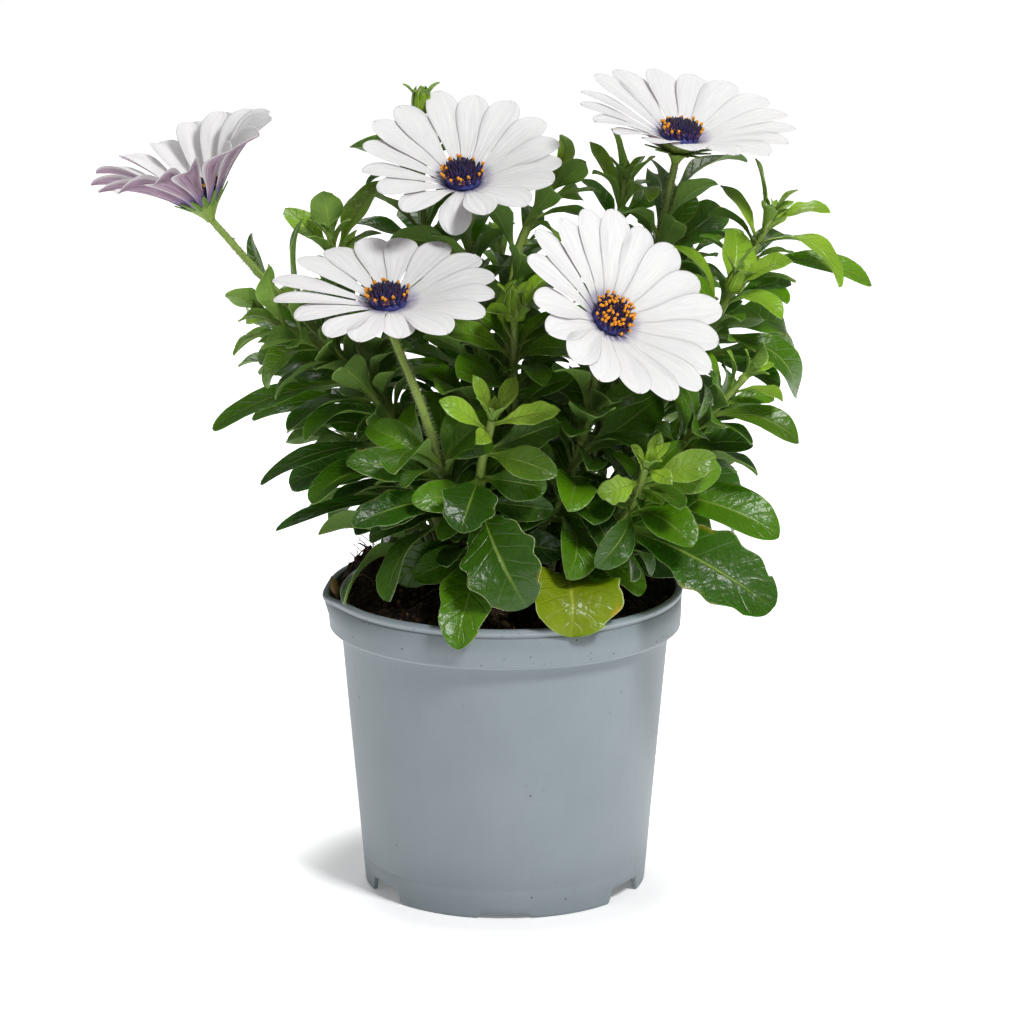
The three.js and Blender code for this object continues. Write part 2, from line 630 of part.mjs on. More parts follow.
// Leaves that follow the rule: each a golden angle round the stem from the last, shorter and
// steeper towards the end of the shoot.
function ruleLeaves(shoot, stem, seed) {
  const { count, from, to, length, open, turn } = shoot.leaves;
  const draw = dice(seed);
  return Array.from({ length: count }, (_, i) => {
    const rank = count > 1 ? i / (count - 1) : 0;
    const axis = stem.curve.getTangentAt(mix(from, to, rank));
    const out = new THREE.Vector3(1, 0, 0).addScaledVector(axis, -axis.x).normalize();
    out.applyAxisAngle(axis, rad(turn + i * GOLDEN));
    const away = stem.curve.getPointAt(mix(from, to, rank)).setZ(0).normalize();
    if (out.dot(away) < 0) out.addScaledVector(away, -2 * LEAF.light * out.dot(away)).normalize();
    const facet = pickFacet(stem, mix(from, to, rank), out);
    const reach = mix(length[0], length[1], rank) * mix(0.88, 1.14, draw());
    const angle = rad(mix(open[0], open[1], rank) + mix(-20, 14, draw()));
    const chord = facet.axis.clone().multiplyScalar(reach * Math.cos(angle));
    chord.addScaledVector(facet.normal, reach * Math.sin(angle));
    const width = reach * mix(0.4, 0.52, draw());
    const style = { arch: mix(0.1, 0.24, draw()), roll: mix(-42, 42, draw()) };
    return leafOn(facet, facet.middle.clone().add(chord), width, style);
  });
}

// The stem's body with its leaves grown out of their facets.
function shootBody({ points, facets }) {
  const body = { points: [...points], faces: [] };
  for (const { corners, rows } of facets)
    if (rows) growBlade(body, facing(points, corners, rows[1]), rows.slice(1));
    else body.faces.push([corners[0], corners[1], corners[3]], [corners[1], corners[2], corners[3]]);
  const last = points.length - STEM.sides;
  for (let k = 1; k < STEM.sides - 1; k++) body.faces.push([0, k + 1, k], [last, last + k, last + k + 1]);
  return solidOf(fromFaces(body.points, body.faces));
}

// A closed bud at a shoot's end.
function budSolid(shoot, stem) {
  const size = shoot.bud;
  const profile = [[0, -size], [0.8 * size, -0.4 * size], [size, 0.4 * size], [0, 1.5 * size]];
  return turned(profile, 8, stem.curve.getPointAt(1), stem.curve.getTangentAt(1));
}

// The green cup under a bloom, with its pointed bracts.
const BRACTS = { count: 7, from: 3, reach: 14, width: 3.4, drop: 20, lower: -5.6, bend: 0, roll: 0 };
function cupSolids(bloom) {
  const faces = vec(bloom.faces).normalize();
  const at = vec(bloom.at);
  const top = RAY.hubFoot - GAP;
  const profile = [[0, -RAY.cup - 1], [1.7, -RAY.cup - 1], [3.2, -6], [5.8, -3], [5.8, top], [0, top]];
  const solids = [turned(profile, 8, at, faces)];
  for (let i = 0; i < BRACTS.count; i++) {
    const rise = bloom.rise - BRACTS.drop;
    const azimuth = (360 * i) / BRACTS.count;
    solids.push(blade(rayRows(bloom, { ...BRACTS, azimuth, rise, stations: [0, 1], pointed: true })));
  }
  return solids;
}

// ---------------------------------------------------------------- blooms
// The rows of a ray or bract: it leaves the head's edge, rises and bends along its length.
function rayRows(bloom, ray) {
  const axis = vec(bloom.faces).normalize();
  const zero = new THREE.Vector3(1, 0, 0).addScaledVector(axis, -axis.x).normalize();
  const out = zero.applyAxisAngle(axis, rad(ray.azimuth));
  const side = new THREE.Vector3().crossVectors(out, axis);
  const length = ray.reach - ray.from;
  const base = vec(bloom.at).addScaledVector(out, ray.from).addScaledVector(axis, ray.lower);
  return ray.stations.map((s) => {
    const angle = rad(ray.rise + ray.bend * s);
    const point = base.clone().addScaledVector(out, length * s * Math.cos(angle));
    point.addScaledVector(axis, length * s * Math.sin(angle));
    const slope = angle + rad(ray.bend * s);
    const forward = out.clone().multiplyScalar(Math.cos(slope)).addScaledVector(axis, Math.sin(slope));
    const face = new THREE.Vector3().crossVectors(side, forward).applyAxisAngle(forward, rad(ray.roll));
    const across = new THREE.Vector3().crossVectors(forward, face);
    const reach = (ray.width / 2) * (ray.pointed ? Math.max(0.15, 1 - s) : petal(s));
    const edge = (sign) => {
      const outwards = point.clone().addScaledVector(across, sign * reach);
      return outwards.addScaledVector(face, RAY.cupped * reach);
    };
    return { line: [edge(-1), point, edge(1)], up: face, half: RAY.half };
  });
}

// Half the width of a ray as a share of its widest: it widens past the middle and ends blunt.
function petal(s) {
  const widen = 0.34 + 0.66 * ease(s, 0, 0.6);
  const close = s > 0.7 ? Math.sqrt(Math.max(0, 1 - ((s - 0.7) / 0.315) ** 2)) : 1;
  return widen * Math.max(close, 0.3);
}

const RAY_ROWS = [0, 0.48, 0.84, 1];

// The rays of a bloom. Each is rolled a little, so that its one edge laps over its neighbour.
function raysOf(bloom, seed) {
  const draw = dice(seed);
  return Array.from({ length: bloom.rays }, (_, i) => ({
    azimuth: bloom.turn + (360 * (i + 0.5 + mix(-0.1, 0.1, draw()))) / bloom.rays,
    from: RAY.hub - 0.4, lower: 0, reach: bloom.reach * mix(0.95, 1.04, draw()), width: mix(10.2, 12, draw()),
    rise: bloom.rise + mix(-0.8, 0.8, draw()), bend: bloom.bend + mix(-1.5, 1.5, draw()),
    roll: RAY.roll, stations: RAY_ROWS,
  }));
}

// A ring of facets under the head, one to a ray, with the rays grown out of them.
function raysBody(bloom, rays) {
  const axis = vec(bloom.faces).normalize();
  const zero = new THREE.Vector3(1, 0, 0).addScaledVector(axis, -axis.x).normalize();
  const count = rays.length;
  const body = { points: [], faces: [] };
  for (const height of [RAY.hubFoot, RAY.hubTop])
    for (let k = 0; k < count; k++) {
      const out = zero.clone().applyAxisAngle(axis, rad(bloom.turn + (360 * k) / count));
      body.points.push(vec(bloom.at).addScaledVector(out, RAY.hub).addScaledVector(axis, height));
    }
  rays.forEach((rows, k) => {
    const next = (k + 1) % count;
    growBlade(body, [next, count + next, count + k, k], rows.slice(1));
    if (k > 1) body.faces.push([0, k, k - 1], [count, count + k - 1, count + k]);
  });
  return solidOf(fromFaces(body.points, body.faces));
}

// The head: a low dome whose surface rises to a point at every floret, ring by ring and by turns.
function headSolid(bloom) {
  const axis = vec(bloom.faces).normalize();
  const zero = new THREE.Vector3(1, 0, 0).addScaledVector(axis, -axis.x).normalize();
  const place = (ring, k) => {
    const share = ring / HEAD.rings;
    const high = ring < HEAD.rings && (ring + k) % 2 ? HEAD.floretHeight : 0;
    const out = zero.clone().applyAxisAngle(axis, rad((360 * k) / HEAD.florets));
    const lift = HEAD.base + 0.4 + HEAD.rise * (1 - share ** 2) + high;
    return vec(bloom.at).addScaledVector(out, share * HEAD.radius).addScaledVector(axis, lift);
  };
  const points = [place(0, 1)];
  for (let ring = 1; ring <= HEAD.rings; ring++)
    for (let k = 0; k < HEAD.florets; k++) points.push(place(ring, k));
  const foot = points.length;
  for (let k = 0; k < HEAD.florets; k++) points.push(place(HEAD.rings, k).addScaledVector(axis, -0.4));
  const at = (ring, k) => 1 + (ring - 1) * HEAD.florets + (k % HEAD.florets);
  const faces = [];
  for (let k = 0; k < HEAD.florets; k++) {
    faces.push([0, at(1, k), at(1, k + 1)]);
    for (let ring = 1; ring <= HEAD.rings; ring++) {
      faces.push([at(ring, k), at(ring + 1, k), at(ring, k + 1)]);
      faces.push([at(ring, k + 1), at(ring + 1, k), at(ring + 1, k + 1)]);
    }
    if (k > 1) faces.push([foot, foot + k, foot + k - 1]);
  }
  return solidOf(fromFaces(points, faces));
}

// ---------------------------------------------------------------- pot and soil
const bandFoot = POT.height - POT.bandDepth;
const taper = (POT.neckRadius - POT.footRadius) / bandFoot;
const outside = (z) => POT.footRadius + taper * z;

function notchCutters() {
  const cutters = [];
  for (const { angles, halfWidth, height } of Object.values(NOTCH)) {
    const half = POT.footRadius * Math.tan(rad(halfWidth));
    const round = Math.min(1.6, height * 0.6);
    const shape = new THREE.Shape();
    shape.moveTo(-half - 1, -1).lineTo(half + 1, -1).lineTo(half, 0.4);
    shape.lineTo(half - round, height - round * 0.4).lineTo(half - 2 * round, height);
    shape.lineTo(-half + 2 * round, height).lineTo(-half + round, height - round * 0.4).lineTo(-half, 0.4);
    for (const angle of angles) {
      const cutter = new THREE.ExtrudeGeometry(shape, { depth: 8, bevelEnabled: false });
      cutter.rotateX(Math.PI / 2).translate(0, -POT.footRadius + 5, 0).rotateZ(rad(angle));
      cutters.push(solidOf(cutter));
    }
  }
  for (let i = 0; i < DRAIN.count; i++) {
    const angle = rad((360 * (i + 0.5)) / DRAIN.count);
    const drill = new THREE.CylinderGeometry(DRAIN.radius, DRAIN.radius, 6, 10).rotateX(Math.PI / 2);
    drill.translate(DRAIN.circle * Math.cos(angle), DRAIN.circle * Math.sin(angle), POT.floorTop);
    cutters.push(solidOf(drill));
  }
  return cutters;
}

function potSolid() {
  const { height, rimRadius, wall, floorTop, padRadius } = POT;
  const under = floorTop - wall;
  const profile = [
    [0, 0], [padRadius, 0], [padRadius + 1.4, under], [outside(0) - wall - 0.3, under],
    [outside(0) - wall, 0], [outside(0), 0], [outside(10), 10], [outside(bandFoot), bandFoot],
    [rimRadius - 0.8, bandFoot + 0.2], [rimRadius, height - 1.4], [rimRadius - 1.1, height],
    [rimRadius - 2.3, height - 0.7], [rimRadius - 1.8 - wall, bandFoot + 3],
    [outside(bandFoot) - wall, bandFoot - 1], [outside(floorTop) - wall, floorTop],
    [padRadius + 2.6, floorTop], [padRadius + 1, wall], [0, wall],
  ];
  const up = new THREE.Vector3(0, 0, 1);
  const body = turned(profile, POT.segments, [0, 0, 0], up);
  return notchCutters().reduce((pot, cutter) => pot.subtract(cutter), body);
}

const HOLE_SIDES = 6;

function soilSolid(stems) {
  const { floorTop, wall, padRadius } = POT;
  const inside = (z) => outside(z) - wall - GAP;
  const shares = [1, 0.84, 0.64, 0.36, 0];
  const edge = POT.rimRadius - 1.8 - wall - GAP - 0.4;
  const profile = [
    [0, wall + GAP], [padRadius - 0.4, wall + GAP], [padRadius + 2, floorTop + GAP],
    [inside(floorTop), floorTop + GAP],
    [inside(bandFoot - 1), bandFoot - 1], [edge, bandFoot + 3.5], ...shares.map((s) => [s * edge, SOIL.edge]),
  ];
  const geometry = new THREE.LatheGeometry(profile.map(([r, z]) => new THREE.Vector2(r, z)), SOIL.segments);
  geometry.rotateX(Math.PI / 2);
  const place = geometry.attributes.position;
  for (let i = 0; i < place.count; i++)
    if (place.getZ(i) > SOIL.edge - 0.5) place.setZ(i, soilHeight(place.getX(i), place.getY(i)));
  return stems.reduce((soil, { x, y, radius }) => {
    const wide = (radius + GAP) / Math.cos(Math.PI / HOLE_SIDES);
    const drill = new THREE.CylinderGeometry(wide, wide, 2 * SOIL.holeDepth, HOLE_SIDES).rotateX(Math.PI / 2);
    return soil.subtract(solidOf(drill.translate(x, y, soilHeight(x, y))));
  }, solidOf(geometry));
}

// ---------------------------------------------------------------- the whole plant
const group = new THREE.Group();

function addMesh(name, solid, color, roughness) {
  const material = new THREE.MeshStandardMaterial({ color, roughness, metalness: 0 });
  const mesh = new THREE.Mesh(geometryOf(solid), material);
  mesh.name = name;
  group.add(mesh);
}

const stems = SHOOTS.map(stemOf);
stems.forEach((stem, i) => claim(stemPoints(stem), i + 1));

const rays = BLOOMS.map((bloom, i) => raysOf(bloom, 100 + i).map((ray) => rayRows(bloom, ray)));
rays.forEach((rows, i) => rows.forEach((one) => claim(bladePoints(one), SHOOTS.length + 1 + i)));

// The old leaf takes its place first, then the leaves with a place of their own, then the rest.
const [oldX, oldY] = OLD_LEAF.foot;
const oldGround = soilHeight(oldX, oldY);
const oldRoot = new THREE.Vector3(oldX, oldY, oldGround + OLD_LEAF.height);
const oldRows = leafRows({
  root: oldRoot, tip: vec(OLD_LEAF.tip), stem: new THREE.Vector3(0, 0, 1), width: OLD_LEAF.width, roll: 0,
  arch: OLD_LEAF.arch, teeth: OLD_LEAF.teeth,
});
claim(bladePoints(oldRows), SHOOTS.length + BLOOMS.length + 1);

for (const pick of [keyLeaves, ruleLeaves])
  SHOOTS.forEach((shoot, i) => {
    for (const leaf of pick(shoot, stems[i], i + 1)) leaf.facet.rows = bendClear(leaf, i + 1);
  });

addMesh("pot", potSolid(), COLOURS.pot, 0.55);
const feet = SHOOTS.map(({ foot: [x, y], thick }) => ({ x, y, radius: thick[0] }));
addMesh("soil", soilSolid([...feet, { x: oldX, y: oldY, radius: OLD_LEAF.stalk }]), COLOURS.soil, 0.95);

SHOOTS.forEach((shoot, i) => {
  const stem = stems[i];
  const solids = [shootBody(stem)];
  if (shoot.bud) solids.push(budSolid(shoot, stem));
  if (stem.bloom) solids.push(...cupSolids(stem.bloom));
  addMesh(shoot.name, fuse(solids), COLOURS.leaf, 0.5);
});

const stalkHeight = SOIL.holeDepth + OLD_LEAF.height + 1;
const stalk = new THREE.CylinderGeometry(OLD_LEAF.stalk, OLD_LEAF.stalk, stalkHeight, 6).rotateX(Math.PI / 2);
stalk.translate(oldX, oldY, oldGround - SOIL.holeDepth + GAP + stalkHeight / 2);
addMesh(OLD_LEAF.name, fuse([solidOf(stalk), blade(oldRows)]), COLOURS.yellow, 0.5);

BLOOMS.forEach((bloom, i) => {
  addMesh(`bloom_${bloom.name}_rays`, raysBody(bloom, rays[i]), COLOURS.petal, 0.6);
  addMesh(`bloom_${bloom.name}_head`, headSolid(bloom), COLOURS.head, 0.7);
});

export default group;
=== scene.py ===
"""A white osteospermum in its round nursery pot: the finished look of the plant, its soil and its pot.

Shapes are worked out in millimetres, +Z up, and turned to metres when a mesh is made.
"""

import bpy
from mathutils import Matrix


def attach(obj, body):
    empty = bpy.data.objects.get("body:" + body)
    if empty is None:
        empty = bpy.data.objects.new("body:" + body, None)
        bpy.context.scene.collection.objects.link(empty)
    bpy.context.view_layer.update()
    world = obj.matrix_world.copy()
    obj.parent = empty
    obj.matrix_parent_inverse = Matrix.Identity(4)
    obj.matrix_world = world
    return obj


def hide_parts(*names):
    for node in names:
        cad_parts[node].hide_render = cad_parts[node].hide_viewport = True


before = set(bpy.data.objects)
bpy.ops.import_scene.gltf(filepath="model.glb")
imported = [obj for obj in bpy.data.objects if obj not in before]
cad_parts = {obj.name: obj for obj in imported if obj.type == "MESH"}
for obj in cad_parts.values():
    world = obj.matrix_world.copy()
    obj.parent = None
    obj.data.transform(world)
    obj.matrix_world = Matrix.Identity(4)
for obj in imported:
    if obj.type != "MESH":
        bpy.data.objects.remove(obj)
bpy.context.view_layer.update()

import logging
import math
from dataclasses import dataclass, field, replace

import bpy
import numpy as np
from mathutils import Vector

logging.basicConfig(level=logging.INFO, format="%(message)s")
log = logging.getLogger("osteospermum")

MM = 0.001  # metres in a millimetre
GOLDEN = 137.508  # degrees from one leaf, floret or stem to the next
GAP = 0.35  # clearance between pieces that touch in life
UP = np.array([0.0, 0.0, 1.0])
EAST = np.array([1.0, 0.0, 0.0])
Numbers = float | np.ndarray


# -------------------- small maths
def unit(v: np.ndarray) -> np.ndarray:
    """Vectors of length one along the last axis."""
    return v / np.linalg.norm(v, axis=-1, keepdims=True)


def mix(a: Numbers, b: Numbers, share: Numbers) -> Numbers:
    """The value that lies a share of the way from a to b."""
    return a + (b - a) * share


def ease(x: Numbers, low: float, high: float) -> Numbers:
    """Smooth step: 0 below low, 1 above high, with the cubic 3q^2 - 2q^3 between them."""
    q = np.clip((x - low) / (high - low), 0.0, 1.0)
    return q * q * (3 - 2 * q)


def turn_about(v: np.ndarray, axis: np.ndarray, degrees: float) -> np.ndarray:
    """Turns vectors about a unit axis by the right-hand rule (Rodrigues' formula)."""
    angle = np.radians(degrees)
    cos, sin = np.cos(angle), np.sin(angle)
    along = (v @ axis)[..., None] if v.ndim > 1 else v @ axis
    return v * cos + np.cross(axis, v) * sin + axis * along * (1 - cos)


def between(first: np.ndarray, second: np.ndarray, degrees: float) -> np.ndarray:
    """The direction that lies an angle from the first of two square ones, towards the second."""
    angle = math.radians(degrees)
    return first * math.cos(angle) + second * math.sin(angle)


def bulge(t: np.ndarray) -> np.ndarray:
    """Half thickness across a blade, as a share of its most: the ellipse sqrt(1 - t^2)."""
    return np.sqrt(np.clip(1 - t**2, 0, 1))


def square_to(axis: np.ndarray) -> np.ndarray:
    """The unit vector square to an axis that lies nearest to +X."""
    return unit(EAST - axis * axis[0])


def noise(points: np.ndarray, size: float, seed: float = 0.0) -> np.ndarray:
    """Smooth random relief from -1 to 1: values at the corners of a grid, blended between them.

    Args:
        points: places, an array that ends in three coordinates.
        size: the grid's spacing, in the same unit.
        seed: picks another relief.

    Returns:
        One value for each place.
    """
    q = points / size
    base = np.floor(q)
    f = q - base
    w = f * f * (3 - 2 * f)
    total = np.zeros(points.shape[:-1])
    for corner in np.ndindex(2, 2, 2):
        c = np.array(corner)
        h = np.sin((base + c) @ np.array([127.1, 311.7, 74.7]) + seed * 13.7) * 43758.5453
        weight = np.prod(np.where(c == 1, w, 1 - w), axis=-1)
        total += weight * (h - np.floor(h))
    return 2 * total - 1


class Dice:
    """A repeatable run of numbers from 0 to 1 (Park-Miller)."""

    def __init__(self, seed: int) -> None:
        """Starts the run from a seed."""
        self.state = seed * 7919 + 17

    def __call__(self) -> float:
        """The next number."""
        self.state = (self.state * 16807) % 2147483647
        return self.state / 2147483647


# -------------------- sizes
@dataclass(frozen=True)
class PotSizes:
    """The nursery pot's driving sizes."""

    height: float = 103
    rim_radius: float = 60
    band_depth: float = 14
    neck_radius: float = 55.3  # outside, right under the band
    foot_radius: float = 47.6
    wall: float = 1.3
    pad_radius: float = 22

    @property
    def band_foot(self) -> float:
        """Height of the band's lower edge."""
        return self.height - self.band_depth

    def outside(self, z: float) -> float:
        """Outer radius of the wall at a height."""
        return self.foot_radius + (self.neck_radius - self.foot_radius) / self.band_foot * z


@dataclass(frozen=True)
class SoilSizes:
    """The peat's surface."""

    edge: float = 99.6
    dome: float = 9
    hole_depth: float = 8


@dataclass(frozen=True)
class LeafSizes:
    """What all leaves share."""

    neck: float = 0.17
    tip: float = 0.34
    fold: float = 15
    free_root: float = 7
    inward: float = 0.3
    outward: float = 0.7
    light: float = 0.8
    to_front: float = 32
    tooth_from: float = 0.34
    tooth_to: float = 0.9


@dataclass(frozen=True)
class RaySizes:
    """What all rays share."""

    cupped: float = 0.12
    roll: float = 8
    hub: float = 8.4
    hub_foot: float = -1.2
    cup: float = 8.4


@dataclass(frozen=True)
class HeadSizes:
    """The disc of florets."""

    radius: float = 6.0
    base: float = 1.2
    rise: float = 2


@dataclass(frozen=True)
class BractSizes:
    """The pointed green bracts round the cup."""

    count: int = 7
    start: float = 3
    reach: float = 14
    width: float = 3.4
    drop: float = 7
    lower: float = -5.6


POT, SOIL, LEAF = PotSizes(), SoilSizes(), LeafSizes()
RAY, HEAD, BRACT = RaySizes(), HeadSizes(), BractSizes()
STEM_SIDES, STEM_RINGS, STEM_CROWD = 5, 14, 1.3
SMALL_LEAVES = 30  # on each shoot, besides the large ones
SMALL_LAPPED = 0.16  # the share of a small leaf's points that may come near another leaf


@dataclass(frozen=True)
class Bloom:
    """Where a bloom stands, which way it faces, and how its rays rise and bend (degrees)."""

    name: str
    at: tuple
    faces: tuple
    reach: float
    rays: int
    rise: float
    bend: float
    turn: float

    @property
    def axis(self) -> np.ndarray:
        """The way the bloom faces."""
        return unit(np.array(self.faces, float))

    @property
    def middle(self) -> np.ndarray:
        """The middle of the head's plane."""
        return np.array(self.at, float)


@dataclass(frozen=True)
class Rule:
    """Leaves that grow by the rule: how many, between which shares, how long and how open."""

    count: int
    start: float
    stop: float
    length: tuple
    opening: tuple
    turn: float


@dataclass(frozen=True)
class Key:
    """A leaf with a place of its own: share of the stem, tip, width and form."""

    share: float
    tip: tuple
    width: float
    arch: float
    roll: float | None = None
    teeth: int = 0


@dataclass(frozen=True)
class Shoot:
    """A stem's foot on the soil, the points that it passes, its thickness and its leaves."""

    name: str
    foot: tuple
    way: tuple
    rule: Rule
    thick: tuple = (1.85, 1.23)
    keys: tuple = ()
    end: tuple | None = None
    bloom: str | None = None
    bud: float = 0.0


BLOOMS = (
    Bloom("top", (-14, 9, 239.5), (0, -0.439, 0.899), reach=36.5, rays=16, rise=27, bend=-5, turn=4),
    Bloom("right", (58, 7, 254), (0.155, -0.199, 0.968), reach=38, rays=17, rise=24, bend=-5, turn=9),
    Bloom("left", (-38, -33.5, 206.5), (-0.01, -0.294, 0.956), reach=37, rays=16, rise=17, bend=-5, turn=1),
    Bloom("front", (34, -46, 203.5), (0.491, -0.579, 0.651), reach=38, rays=18, rise=27, bend=-6, turn=6),
    Bloom("goblet", (-100.5, 0, 235.5), (-0.36, -0.073, 0.93), reach=37, rays=15, rise=50, bend=-14, turn=3),
)

